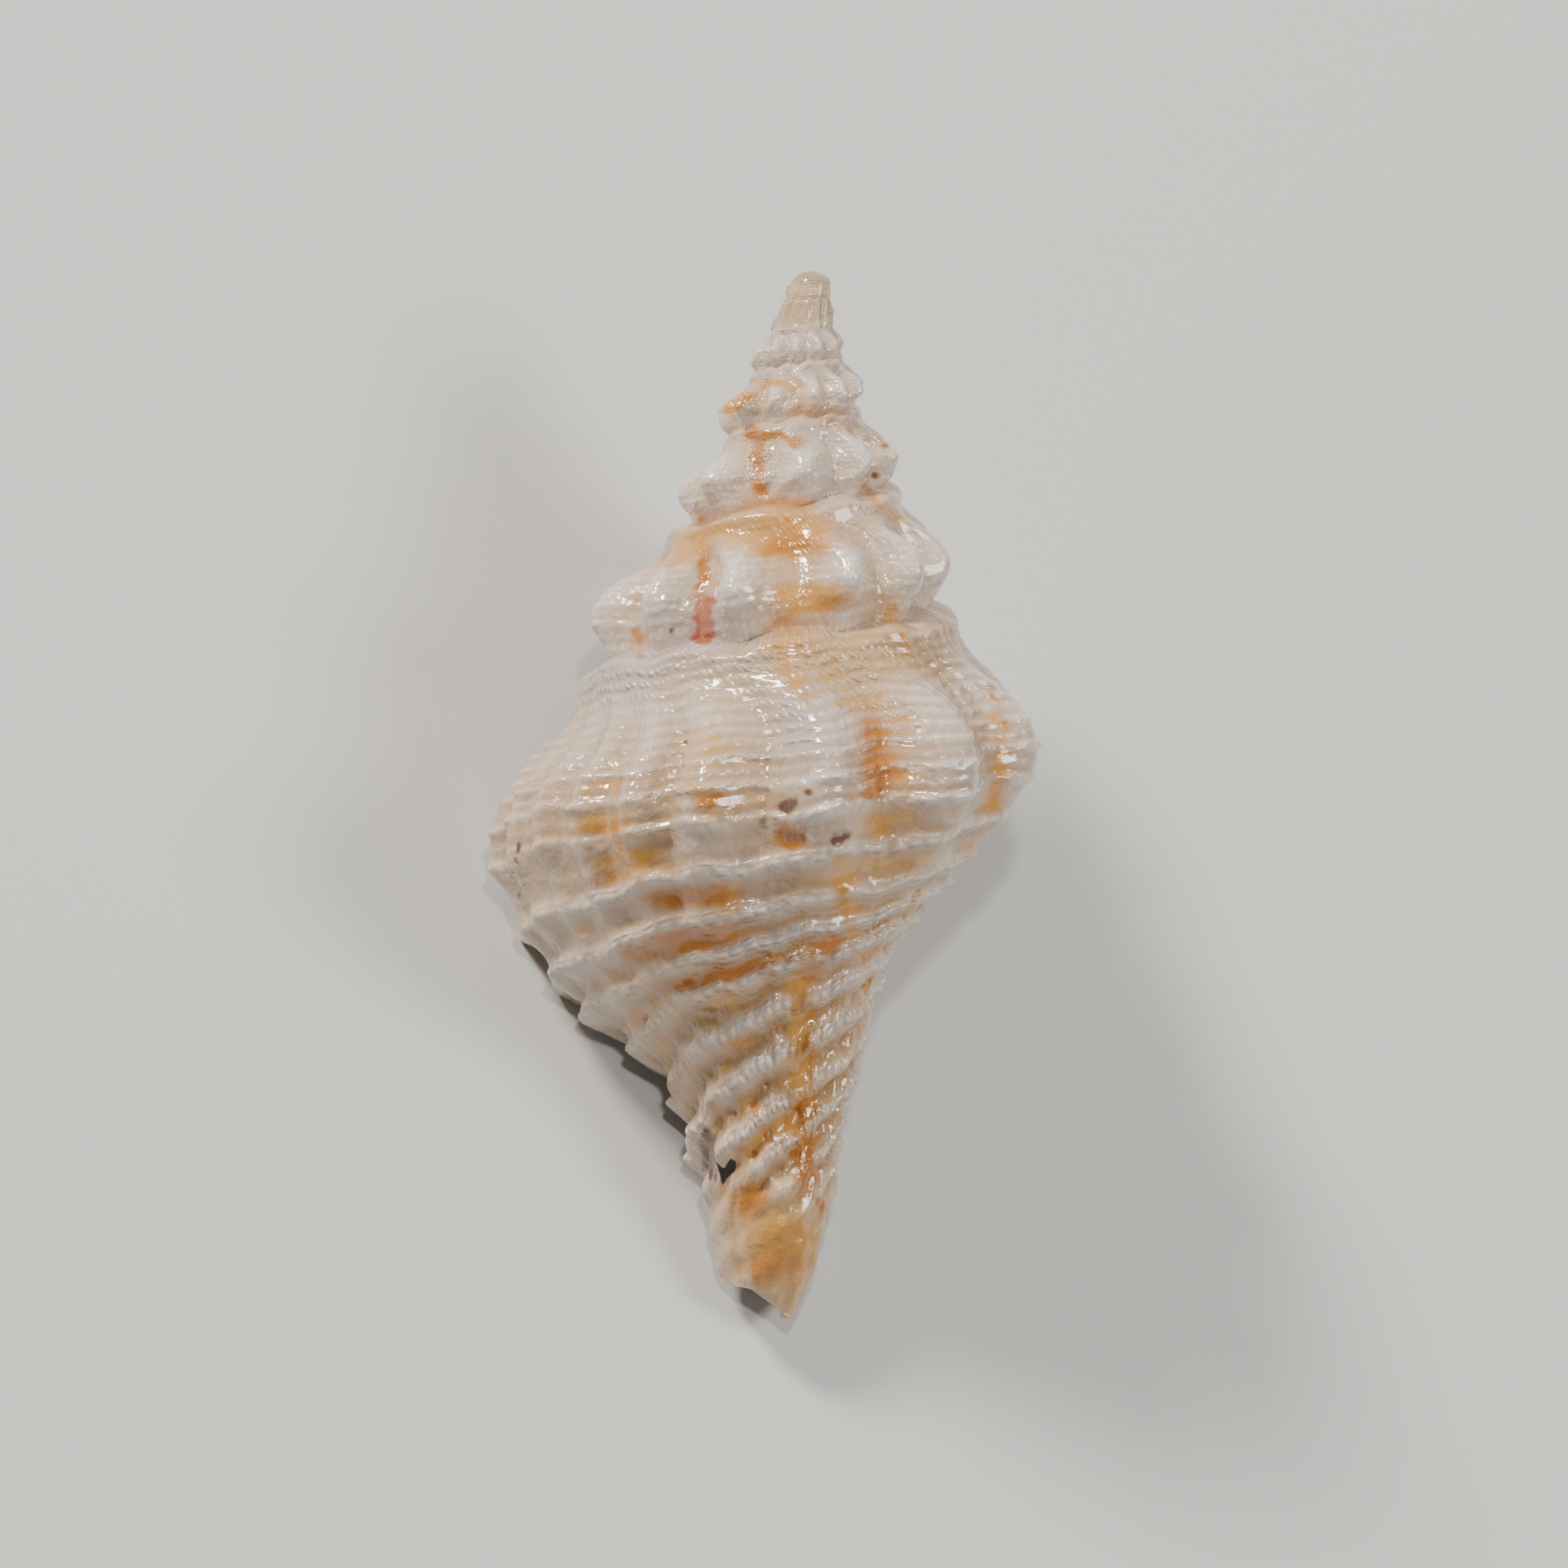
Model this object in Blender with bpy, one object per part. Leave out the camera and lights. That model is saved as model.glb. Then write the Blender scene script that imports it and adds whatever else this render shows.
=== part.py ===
# Spindle shell: a small sea snail's shell that grew as one piece.
# The wall is one spiral sheet that widens by the same factor every turn. It is corded and
# ribbed outside, rolled into an open canal below, and hollow behind its mouth.
# Heights run down the shell's axis from the point that the spiral shrinks to, just above the tip
# of the spire. Angles are degrees of growth before the outer lip, so the lip is at 0.

import math

import bmesh
import bpy
import numpy as np
from mathutils import Matrix, Vector

MM = 0.001

# Growth of the spiral
GROWTH_PER_TURN = 1.53
TURNS = 6
COLUMNS_PER_TURN = 60
LIP_SIDE_ANGLE = 102.0
APEX_DOME_HEIGHT = 0.48
APEX_RING_HEIGHT = 0.92
APEX_RING_RADIUS = 0.68
APEX_LEAN = 0.24
APEX_LEAN_END = 2.6
# Share of the first turn in which its strip opens out from the dome's edge
FIRST_STRIP_OPENING = 0.75

# Suture, where each turn meets the one before, as a height on a turn of the lip's size
SUTURE_HEIGHT = 14.68
SUTURE_RISE_AT_LIP = 0.33

# Outside of a turn between its ribs, on a turn of the lip's size: height, radius
WHORL_PROFILE = (
    (14.2, 6.9), (15.0, 7.05), (15.8, 7.12), (16.75, 7.5), (17.9, 8.35), (18.7, 8.85), (19.6, 9.4),
    (20.8, 9.65), (22.3, 9.2), (23.9, 8.25), (25.3, 7.25), (26.65, 6.05), (27.9, 4.8), (29.3, 3.0),
    (30.7, 1.1), (31.6, 0.1),
)
# Share of that radius on the smaller turns of the spire: angle before the lip, share
SPIRE_SLIMNESS = ((0, 1.0), (460, 0.98), (820, 0.85), (1180, 0.89), (1540, 0.93), (1900, 1.02))
# The wall flares a little just before the lip
LIP_FLARE = 0.26
LIP_FLARE_ANGLE = 32.0
LIP_FLARE_LEVELS = (25.0, 29.0)
# and closes in sooner below the body there: how much sooner, between which heights
LIP_PINCH = 0.9
LIP_PINCH_LEVELS = (26.4, 28.0)
LIP_PINCH_ANGLES = (10.0, 110.0)

# Canal stem below the body: height on the finished shell, radius
STEM_PROFILE = (
    (10.0, 0.0), (14.0, 0.8), (19.1, 4.1), (22.9, 3.8), (24.9, 3.35), (26.3, 3.0), (27.9, 2.6),
    (29.6, 2.18), (32.3, 2.0), (33.3, 1.87), (35.0, 1.48), (36.5, 0.95),
)
# How much wider the stem is on the lip's side: height, share
STEM_SWELL = ((26.5, 0.50), (30.2, 0.42), (31.7, 0.22), (33.3, 0.13), (36.0, 0.12))
STEM_SWELL_ANGLES = (200.0, 20.0)
# How far the stem narrows where it rolls in under the lip: angle before the lip, share left
STEM_ROLL = ((0, 0.93), (14, 1.0), (250, 1.0), (300, 0.90), (360, 0.66), (430, 0.48), (560, 0.42))
# How sharply the body turns into the stem: a higher power makes a tighter neck
NECK_BLEND = 4.0
# Broken end of the canal: angle before the lip, height of the edge
CANAL_END = (
    (0, 35.15), (14, 35.2), (45, 35.4), (72, 35.5), (100, 35.75), (122, 36.15), (150, 36.5),
    (182, 36.35), (225, 35.95), (282, 35.7), (330, 35.3), (360, 35.15), (600, 35.0),
)

# Spiral cords: heights of their crests on a turn of the lip's size
CORD_CRESTS = (
    19.25, 20.35, 21.65, 23.4, 25.1, 26.4, 27.5, 29.1, 31.0, 33.0, 34.75, 36.55, 38.4, 40.2, 42.0,
)
CORD_RELIEF = 0.115
CORD_FADE_START = 30.5
CORD_FADE_END = 34.0
# Smooth rows on the slope above the first cord and past the last one
RAMP_ROWS = (14.98, 15.8, 16.9, 18.15)
STEM_ROWS = (43.8, 45.8, 48.0, 50.5, 53.5)
# Every row on the last two turns, every second on the one before, and so on up the spire
ROW_STEPS = (1, 2, 3, 4, 4, 6)
# Least room between a row and the edge above or below it
CLEAR_ABOVE = 0.25
CLEAR_BELOW = 0.35

# Ribs: angle of each crest before the lip on the last two turns, even spacing before those
RIB_ANGLES = (
    38, 60, 88, 111, 142, 172, 203, 232, 262, 291, 320, 348,
    390, 417, 444, 482, 512, 543, 573, 604, 634, 664, 694,
)
RIB_SPACING = 30.0
RIB_WIDTH = 8.0
# Rib height on a turn of the lip's size: height, rise
RIB_RISE = (
    (14.7, 0.1), (16.4, 0.3), (17.9, 0.75), (19.3, 1.0), (21.2, 1.0), (23.2, 0.55), (25.1, 0.2),
    (26.8, 0.0), (27.9, 0.0),
)
RIB_FIRST_TURN = 4.6

# Mouth
WALL = 0.42
MOUTH_DEPTH_COLUMNS = 32
MOUTH_ROOF_DROP = 0.75
INNER_ROWS = (16.4, 18.6, 21.0, 23.4, 25.4, 27.0, 28.5, 30.2, 32.2, 34.2)
FLOOR_ROWS = (26.0, 28.5, 31.5, 35.0, 39.0, 43.5, 48.5, 54.0)
CALLUS_START = 322.0
CALLUS_END = 352.0
CALLUS_TOP = 13.6
CALLUS_EDGE = 0.8
THIN_WALL_SHARE = 0.3
# Middle of the solid stem at the canal's end: angle before the lip, distance from the axis
STEM_CORE_ANGLE = 282.0
STEM_CORE_RADIUS = 0.28

# Chip through the wall of the canal
CHIP_ANGLE = 58.0
CHIP_HEIGHT = 31.5
CHIP_OUTLINE = ((-0.30, 0.30), (0.02, 0.12), (0.30, 0.34), (0.36, 0.0), (0.12, -0.42), (-0.14, -0.52))
CHIP_INNER_RADIUS = 1.45
CHIP_OUTER_RADIUS = 3.2

# How the shell lies: turned about its own axis, then tipped nose down
ROLL = -19.4
PITCH = 16.9

SHELL_COLOUR = (0.72, 0.62, 0.50, 1.0)
SHELL_ROUGHNESS = 0.32


def smooth_curve(points):
    """A curve through the points with no overshoot, level beyond both ends."""
    xs = np.array([p[0] for p in points], float)
    ys = np.array([p[1] for p in points], float)
    steps = np.diff(xs)
    slopes = np.diff(ys) / steps
    tangents = np.zeros(len(xs))
    for i in range(1, len(xs) - 1):
        if slopes[i - 1] * slopes[i] > 0:
            tangents[i] = 2 * slopes[i - 1] * slopes[i] / (slopes[i - 1] + slopes[i])

    def curve(x):
        x = min(max(x, xs[0]), xs[-1])
        i = min(int(np.searchsorted(xs, x, side="right")) - 1, len(steps) - 1)
        f = (x - xs[i]) / steps[i]
        return (
            ys[i] * (1 + 2 * f) * (1 - f) ** 2
            + ys[i + 1] * f * f * (3 - 2 * f)
            + tangents[i] * steps[i] * f * (1 - f) ** 2
            - tangents[i + 1] * steps[i] * f * f * (1 - f)
        )

    return curve


def ramp(x, start, end):
    """0 before start, 1 after end, eased between."""
    f = min(max((x - start) / (end - start), 0.0), 1.0)
    return f * f * (3 - 2 * f)


COLUMN_STEP = 360.0 / COLUMNS_PER_TURN
whorl_radius = smooth_curve(WHORL_PROFILE)
spire_slimness = smooth_curve(SPIRE_SLIMNESS)
stem_radius = smooth_curve(STEM_PROFILE)
stem_swell = smooth_curve(STEM_SWELL)
stem_roll = smooth_curve(STEM_ROLL)
canal_end = smooth_curve(CANAL_END)
rib_rise = smooth_curve(RIB_RISE)


def turn_size(angle):
    """Size of the turn at an angle before the lip, next to the lip's 1."""
    return GROWTH_PER_TURN ** (-angle / 360.0)


def suture(angle):
    """Height of a turn's upper edge, on a turn of the lip's size."""
    return SUTURE_HEIGHT - SUTURE_RISE_AT_LIP * (1 - ramp(angle, 0.0, 150.0))


def next_suture(angle):
    """Height where the next turn covers this one, on a turn of the lip's size."""
    return GROWTH_PER_TURN * suture(angle - 360.0)


def rib_angles():
    """Every rib crest, from the lip to where the ribs begin."""
    angles = list(RIB_ANGLES)
    while angles[-1] + RIB_SPACING < RIB_FIRST_TURN * 360.0:
        angles.append(angles[-1] + RIB_SPACING)
    return angles


ALL_RIBS = rib_angles()


def rib_shape(angle):
    """1 on a rib's crest, falling to 0 between the ribs."""
    nearest = min(abs(angle - crest) for crest in ALL_RIBS)
    return math.exp(-((nearest / RIB_WIDTH) ** 2))


def callus(angle, height):
    """1 where the smooth inner lip covers the turn before, 0 on the open outside."""
    return ramp(angle, CALLUS_START, CALLUS_END) * ramp(height, CALLUS_TOP, CALLUS_TOP + CALLUS_EDGE)


def cord_relief(angle, level, height):
    """Rise and fall of the spiral cords at a level of the lip-sized turn."""
    if not CORD_CRESTS[0] <= level <= CORD_CRESTS[-1]:
        return 0.0
    count = np.interp(level, CORD_CRESTS, range(len(CORD_CRESTS)))
    first = min(int(count), len(CORD_CRESTS) - 2)
    spacing = CORD_CRESTS[first + 1] - CORD_CRESTS[first]
    fade = 1 - ramp(height, CORD_FADE_START, CORD_FADE_END)
    return CORD_RELIEF * spacing * fade * math.cos(2 * math.pi * count) * turn_size(angle)


def plain_radius(angle, height):
    """Outside radius without cords and ribs: the body running into the stem."""
    size = turn_size(angle)
    level = height / size
    pinch = LIP_PINCH * (1 - ramp(angle, *LIP_PINCH_ANGLES)) * ramp(level, *LIP_PINCH_LEVELS)
    flare = LIP_FLARE * (1 - ramp(angle, 0.0, LIP_FLARE_ANGLE)) * (1 - ramp(level, *LIP_FLARE_LEVELS))
    body = size * spire_slimness(angle) * whorl_radius(level + pinch) + flare
    lip_side = ramp(angle, *STEM_SWELL_ANGLES)
    stem = stem_radius(height) * (1 + stem_swell(height) * lip_side) * stem_roll(angle)
    return (body ** NECK_BLEND + stem ** NECK_BLEND) ** (1 / NECK_BLEND)


def outer_radius(angle, height):
    """Outside radius with its ribs and cords."""
    size = turn_size(angle)
    level = height / size
    open_share = 1 - callus(angle, height)
    if angle > 360.0 and level > next_suture(angle):
        open_share = 0.0
    ribs = size * rib_rise(level) * rib_shape(angle)
    return plain_radius(angle, height) + open_share * (ribs + cord_relief(angle, level, height))


def place(angle, height, radius):
    """Point on the shell with its axis along -Y and the back of the last turn up."""
    side = math.radians(LIP_SIDE_ANGLE - angle)
    lean = APEX_LEAN * (1 - ramp(height, APEX_DOME_HEIGHT, APEX_LEAN_END))
    return Vector((lean - radius * math.sin(side), -height, radius * math.cos(side))) * MM


def levels_between(upper, lower, levels):
    """The levels that fall between two edges, clear of both, and the lower edge itself."""
    return [level for level in levels if upper + CLEAR_ABOVE < level < lower - CLEAR_BELOW] + [lower]


def all_cord_levels():
    """Two levels for each cord, its crest and the groove after it."""
    levels = list(RAMP_ROWS)
    for crest, following in zip(CORD_CRESTS, CORD_CRESTS[1:]):
        levels += [crest, (crest + following) / 2]
    levels.append(CORD_CRESTS[-1])
    return levels + list(STEM_ROWS)


def spire_levels(angle):
    """Fewer levels on the smaller turns."""
    step = ROW_STEPS[int(angle / 360.0) - 1]
    return all_cord_levels()[step - 1:: step]


def stitch(bm, left, right):
    """Triangles between two columns of (parameter, vertex), from their tops to their ends."""
    i, j = 0, 0
    while i < len(left) - 1 or j < len(right) - 1:
        move_left = j == len(right) - 1
        if i < len(left) - 1 and j < len(right) - 1:
            move_left = left[i + 1][0] <= right[j + 1][0]
        if move_left:
            corners = (left[i][1], left[i + 1][1], right[j][1])
            i += 1
        else:
            corners = (left[i][1], right[j + 1][1], right[j][1])
            j += 1
        if len(set(corners)) == 3:
            bm.faces.new(corners)


def build_outside(bm):
    """Columns of the outer sheet, from the first turn to the lip, and the edge of the dome."""
    last = TURNS * COLUMNS_PER_TURN
    columns = []
    start = bm.verts.new(place(TURNS * 360.0, APEX_RING_HEIGHT, APEX_RING_RADIUS))
    ring = [start]
    for index in range(last + 1):
        angle = (last - index) * COLUMN_STEP
        size = turn_size(angle)
        if index == 0:
            columns.append([(0.0, start), (1.0, start)])
            continue
        if index < COLUMNS_PER_TURN:
            top = bm.verts.new(place(angle, APEX_RING_HEIGHT, APEX_RING_RADIUS))
            ring.append(top)
        else:
            top = columns[index - COLUMNS_PER_TURN][-1][1]
        if angle >= 360.0:
            levels = levels_between(suture(angle), next_suture(angle), spire_levels(angle))
        else:
            levels = levels_between(suture(angle), canal_end(angle) / size, all_cord_levels())
        if index < COLUMNS_PER_TURN:
            levels = levels[-1:]
        column = [(suture(angle), top)]
        for level in levels:
            height = level * size
            radius = outer_radius(angle, height)
            if index < COLUMNS_PER_TURN:
                share = ramp(index / COLUMNS_PER_TURN, 0.0, FIRST_STRIP_OPENING)
                height = APEX_RING_HEIGHT + (height - APEX_RING_HEIGHT) * share
                radius = APEX_RING_RADIUS + (radius - APEX_RING_RADIUS) * share
            column.append((level, bm.verts.new(place(angle, height, radius))))
        columns.append(column)
    return columns, ring


def build_shell():
    """The whole shell as one closed mesh."""
    bm = bmesh.new()
    columns, ring = build_outside(bm)
    last = len(columns) - 1
    lip_foot = last - COLUMNS_PER_TURN
    deep = MOUTH_DEPTH_COLUMNS

    # Under the lip the column goes on down to the canal's end
    foot_angle = 360.0
    size = turn_size(foot_angle)
    seam = columns[lip_foot]
    roof_level = next_suture(foot_angle) + MOUTH_ROOF_DROP
    lower = canal_end(foot_angle) / size
    for level in [roof_level] + levels_between(roof_level, lower, all_cord_levels()):
        height = level * size
        point = place(foot_angle, height, outer_radius(foot_angle, height))
        seam.append((level, bm.verts.new(point)))

    # The turn before goes on inside the mouth as its floor
    floor = [[entry for entry in seam if entry[0] >= roof_level]]
    for back in range(1, deep + 1):
        angle = 360.0 + back * COLUMN_STEP
        size = turn_size(angle)
        roof_level = next_suture(angle) + MOUTH_ROOF_DROP
        lower = canal_end(angle) / size
        column = []
        for level in [roof_level] + levels_between(roof_level, lower, FLOOR_ROWS):
            point = place(angle, level * size, plain_radius(angle, level * size))
            column.append((level, bm.verts.new(point)))
        floor.append(column)

    # Inside of the last turn
    inner = []
    for back in range(deep + 1):
        angle = back * COLUMN_STEP
        size = turn_size(angle)
        roof = floor[back][0]
        lower = canal_end(angle) / size
        column = [(roof[0] / GROWTH_PER_TURN, roof[1])]
        for level in levels_between(column[0][0], lower, INNER_ROWS):
            height = level * size
            outside = plain_radius(angle, height)
            radius = outside - min(WALL, THIN_WALL_SHARE * outside)
            column.append((level, bm.verts.new(place(angle, height, radius))))
        inner.append(column)

    for left, right in zip(columns[:lip_foot], columns[1:lip_foot]):
        stitch(bm, left, right)
    exposed_seam = [entry for entry in seam if entry[0] <= next_suture(360.0) + 1e-6]
    stitch(bm, columns[lip_foot - 1], exposed_seam)
    for left, right in zip(columns[lip_foot:last], columns[lip_foot + 1:]):
        stitch(bm, left, right)
    for near, far in zip(floor, floor[1:]):
        stitch(bm, far, near)
    for near, far in zip(inner, inner[1:]):
        stitch(bm, near, far)
    stitch(bm, columns[last], inner[0])
    deep_floor = [(level / GROWTH_PER_TURN, vertex) for level, vertex in floor[deep]]
    stitch(bm, inner[deep], deep_floor)

    # Dome over the first turn
    crown = bm.verts.new(place(0.0, APEX_DOME_HEIGHT, 0.0))
    for first, second in zip(ring, ring[1:] + ring[:1]):
        bm.faces.new((crown, first, second))

    # Broken end of the canal: the wall's edge, and the solid stem
    for back in range(deep):
        outside = (columns[last - back][-1][1], columns[last - back - 1][-1][1])
        inside = (inner[back][-1][1], inner[back + 1][-1][1])
        bm.faces.new((outside[0], inside[0], inside[1]))
        bm.faces.new((outside[0], inside[1], outside[1]))
    rim = [column[-1][1] for column in reversed(floor)]
    rim += [columns[index][-1][1] for index in range(lip_foot + 1, last - deep + 1)]
    rim.append(inner[deep][-1][1])
    core = bm.verts.new(place(STEM_CORE_ANGLE, canal_end(STEM_CORE_ANGLE), STEM_CORE_RADIUS))
    for first, second in zip(rim, rim[1:] + rim[:1]):
        bm.faces.new((core, second, first))

    bmesh.ops.recalc_face_normals(bm, faces=bm.faces)
    mesh = bpy.data.meshes.new("shell")
    bm.to_mesh(mesh)
    bm.free()
    return mesh


def shell_material():
    """Plain glossy cream for the whole shell."""
    material = bpy.data.materials.new("shell")
    material.use_nodes = True
    shader = material.node_tree.nodes["Principled BSDF"]
    shader.inputs["Base Color"].default_value = SHELL_COLOUR
    shader.inputs["Roughness"].default_value = SHELL_ROUGHNESS
    shader.inputs["Metallic"].default_value = 0.0
    return material


def chip_cutter():
    """A tapering plug with the outline of the chip, through the canal's wall from outside."""
    bm = bmesh.new()
    side = math.radians(LIP_SIDE_ANGLE - CHIP_ANGLE)
    outward = Vector((-math.sin(side), 0, math.cos(side)))
    across = Vector((math.cos(side), 0, math.sin(side)))
    rings = []
    for radius, widen in ((CHIP_INNER_RADIUS, 0.85), (CHIP_OUTER_RADIUS, 1.15)):
        ring = []
        for sideways, up in CHIP_OUTLINE:
            point = outward * radius + across * sideways * widen
            point.y = -CHIP_HEIGHT + up * widen
            ring.append(bm.verts.new(point * MM))
        rings.append(ring)
    bm.faces.new(rings[0])
    bm.faces.new(rings[1])
    count = len(CHIP_OUTLINE)
    for i in range(count):
        following = (i + 1) % count
        bm.faces.new((rings[0][i], rings[0][following], rings[1][following], rings[1][i]))
    bmesh.ops.recalc_face_normals(bm, faces=bm.faces)
    mesh = bpy.data.meshes.new("canal_chip")
    bm.to_mesh(mesh)
    bm.free()
    return mesh


def lay_down(meshes):
    """Turn the meshes as the shell lies and set the first on the ground, centred."""
    turn = Matrix.Rotation(math.radians(PITCH), 4, "X") @ Matrix.Rotation(math.radians(ROLL), 4, "Y")
    corners = np.array([turn @ vertex.co for vertex in meshes[0].vertices])
    low, high = corners.min(axis=0), corners.max(axis=0)
    middle = (low + high) / 2
    for mesh in meshes:
        mesh.transform(Matrix.Translation(Vector((-middle[0], -middle[1], -low[2]))) @ turn)


def main():
    for old in list(bpy.data.objects):
        bpy.data.objects.remove(old, do_unlink=True)
    mesh = build_shell()
    chip = chip_cutter()
    lay_down((mesh, chip))
    mesh.materials.append(shell_material())
    shell = bpy.data.objects.new("shell", mesh)
    bpy.context.scene.collection.objects.link(shell)
    mesh.shade_smooth()
    mesh.set_sharp_from_angle(angle=math.radians(55))

    cutter = bpy.data.objects.new("canal_chip", chip)
    bpy.context.scene.collection.objects.link(cutter)
    cutter.hide_render = True
    cutter.display_type = "WIRE"
    cut = shell.modifiers.new("canal chip", "BOOLEAN")
    cut.operation = "DIFFERENCE"
    cut.solver = "EXACT"
    cut.object = cutter


main()
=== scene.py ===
import math

import bmesh
import bpy
import numpy as np
from mathutils import Matrix, Vector


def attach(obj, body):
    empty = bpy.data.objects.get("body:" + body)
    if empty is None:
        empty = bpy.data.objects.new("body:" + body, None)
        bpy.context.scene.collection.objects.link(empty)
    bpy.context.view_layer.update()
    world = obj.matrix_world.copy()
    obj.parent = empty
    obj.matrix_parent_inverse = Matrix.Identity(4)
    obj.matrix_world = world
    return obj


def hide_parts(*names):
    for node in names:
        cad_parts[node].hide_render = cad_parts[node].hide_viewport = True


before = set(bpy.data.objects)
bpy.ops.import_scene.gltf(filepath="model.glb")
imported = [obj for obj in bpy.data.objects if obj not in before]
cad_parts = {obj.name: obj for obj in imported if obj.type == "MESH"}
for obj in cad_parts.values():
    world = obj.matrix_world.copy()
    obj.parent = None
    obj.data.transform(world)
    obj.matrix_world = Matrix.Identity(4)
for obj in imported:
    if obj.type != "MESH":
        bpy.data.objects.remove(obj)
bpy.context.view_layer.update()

# Shell: the spiral that it grew on.
# A sea snail's shell is one wall of lime, laid down at the lip and wound round an axis. It widens
# by the same factor every turn, and each turn covers the lower part of the one before.
MM = 0.001
GROWTH_PER_TURN = 1.53
TURNS = 6
# Sizes are millimetres. Heights run down the axis from the point that the spiral shrinks to. Angles
# are degrees of growth before the lip, and a level is a height on a turn of the lip's size
LIP_SIDE_ANGLE = 102.0
APEX_DOME_HEIGHT = 0.48
APEX_RING_HEIGHT = 0.92
APEX_RING_RADIUS = 0.68
APEX_LEAN = 0.24
APEX_LEAN_END = 2.6
FIRST_STRIP_OPENING = 0.75
SUTURE_LEVEL = 14.68
SUTURE_RISE_AT_LIP = 0.33
SUTURE_RISE_ANGLES = (0.0, 150.0)
SUTURE_WAVE = 0.42
SUTURE_WAVE_MIDDLE = 0.5
# Outside of a turn between its ribs: level, radius
WHORL_PROFILE = (
    (14.2, 6.9), (15.0, 7.05), (15.8, 7.12), (16.75, 7.5), (17.9, 8.35), (18.7, 8.85), (19.6, 9.4),
    (20.8, 9.65), (22.3, 9.2), (23.9, 8.25), (25.3, 7.25), (26.65, 6.05), (27.9, 4.8), (29.3, 3.0),
    (30.7, 1.1), (31.6, 0.1),
)
# Share of that radius up the spire: angle, share
SPIRE_SLIMNESS = ((0, 1.0), (460, 0.98), (820, 0.85), (1180, 0.89), (1540, 0.93), (1900, 1.02))
LIP_FLARE = 0.26
LIP_FLARE_ANGLE = 32.0
LIP_FLARE_LEVELS = (25.0, 29.0)
LIP_PINCH = 0.9
LIP_PINCH_LEVELS = (26.4, 28.0)
LIP_PINCH_ANGLES = (10.0, 110.0)
# Canal stem below the body: height, radius, then how much wider it is on the lip's side
STEM_PROFILE = (
    (10.0, 0.0), (14.0, 0.8), (19.1, 4.1), (22.9, 3.8), (24.9, 3.35), (26.3, 3.0), (27.9, 2.6),
    (29.6, 2.18), (32.3, 2.0), (33.3, 1.87), (35.0, 1.48), (36.5, 0.95),
)
STEM_SWELL = ((26.5, 0.50), (30.2, 0.42), (31.7, 0.22), (33.3, 0.13), (36.0, 0.12))
STEM_SWELL_ANGLES = (200.0, 20.0)
STEM_ROLL = ((0, 0.93), (14, 1.0), (250, 1.0), (300, 0.90), (360, 0.66), (430, 0.48), (560, 0.42))
NECK_BLEND = 4.0
# Broken end of the canal: angle, height of the edge
CANAL_END = (
    (0, 35.15), (14, 35.2), (45, 35.4), (72, 35.5), (100, 35.75), (122, 36.15), (150, 36.5),
    (182, 36.35), (225, 35.95), (282, 35.7), (330, 35.3), (360, 35.15), (600, 35.0),
)
# How the shell lies: rolled on its own axis, tipped nose down, then moved to where the part stands
ROLL = -19.4
PITCH = 16.9
RESTING_PLACE = Vector((1.139423, 17.827053, 11.432321))


def smooth_curve(points):
    """A curve through the points with no overshoot, level beyond both ends."""
    xs = np.array([p[0] for p in points], float)
    ys = np.array([p[1] for p in points], float)
    steps = np.diff(xs)
    slopes = np.diff(ys) / steps
    tangents = np.zeros(len(xs))
    for i in range(1, len(xs) - 1):
        if slopes[i - 1] * slopes[i] > 0:
            tangents[i] = 2 * slopes[i - 1] * slopes[i] / (slopes[i - 1] + slopes[i])

    def curve(x):
        x = np.clip(x, xs[0], xs[-1])
        i = np.minimum(np.searchsorted(xs, x, side="right") - 1, len(steps) - 1)
        f = (x - xs[i]) / steps[i]
        return (
            ys[i] * (1 + 2 * f) * (1 - f) ** 2
            + ys[i + 1] * f * f * (3 - 2 * f)
            + tangents[i] * steps[i] * f * (1 - f) ** 2
            - tangents[i + 1] * steps[i] * f * f * (1 - f)
        )

    return curve


def ease(x, start, end):
    """0 before start, 1 after end, eased between."""
    f = np.clip((x - start) / (end - start), 0.0, 1.0)
    return f * f * (3 - 2 * f)


whorl_radius = smooth_curve(WHORL_PROFILE)
spire_slimness = smooth_curve(SPIRE_SLIMNESS)
stem_radius = smooth_curve(STEM_PROFILE)
stem_swell = smooth_curve(STEM_SWELL)
stem_roll = smooth_curve(STEM_ROLL)
canal_end = smooth_curve(CANAL_END)


def turn_size(angle):
    """Size of the turn at an angle before the lip, next to the lip's 1."""
    return GROWTH_PER_TURN ** (-angle / 360.0)


def suture(angle):
    """Level of a turn's upper edge, which dips round the ribs of the turn above."""
    rise = SUTURE_RISE_AT_LIP * (1 - ease(angle, *SUTURE_RISE_ANGLES))
    return SUTURE_LEVEL - rise + SUTURE_WAVE * (rib_shape(angle + 360.0) - SUTURE_WAVE_MIDDLE)


def next_suture(angle):
    """Level where the next turn covers this one."""
    return GROWTH_PER_TURN * suture(angle - 360.0)


def plain_radius(angle, height):
    """Outside radius without cords and ribs: the body running into the stem."""
    size = turn_size(angle)
    level = height / size
    pinch = LIP_PINCH * (1 - ease(angle, *LIP_PINCH_ANGLES)) * ease(level, *LIP_PINCH_LEVELS)
    flare = LIP_FLARE * (1 - ease(angle, 0.0, LIP_FLARE_ANGLE)) * (1 - ease(level, *LIP_FLARE_LEVELS))
    body = size * spire_slimness(angle) * whorl_radius(level + pinch) + flare
    lip_side = ease(angle, *STEM_SWELL_ANGLES)
    stem = stem_radius(height) * (1 + stem_swell(height) * lip_side) * stem_roll(angle)
    return (body ** NECK_BLEND + stem ** NECK_BLEND) ** (1 / NECK_BLEND)


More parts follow.
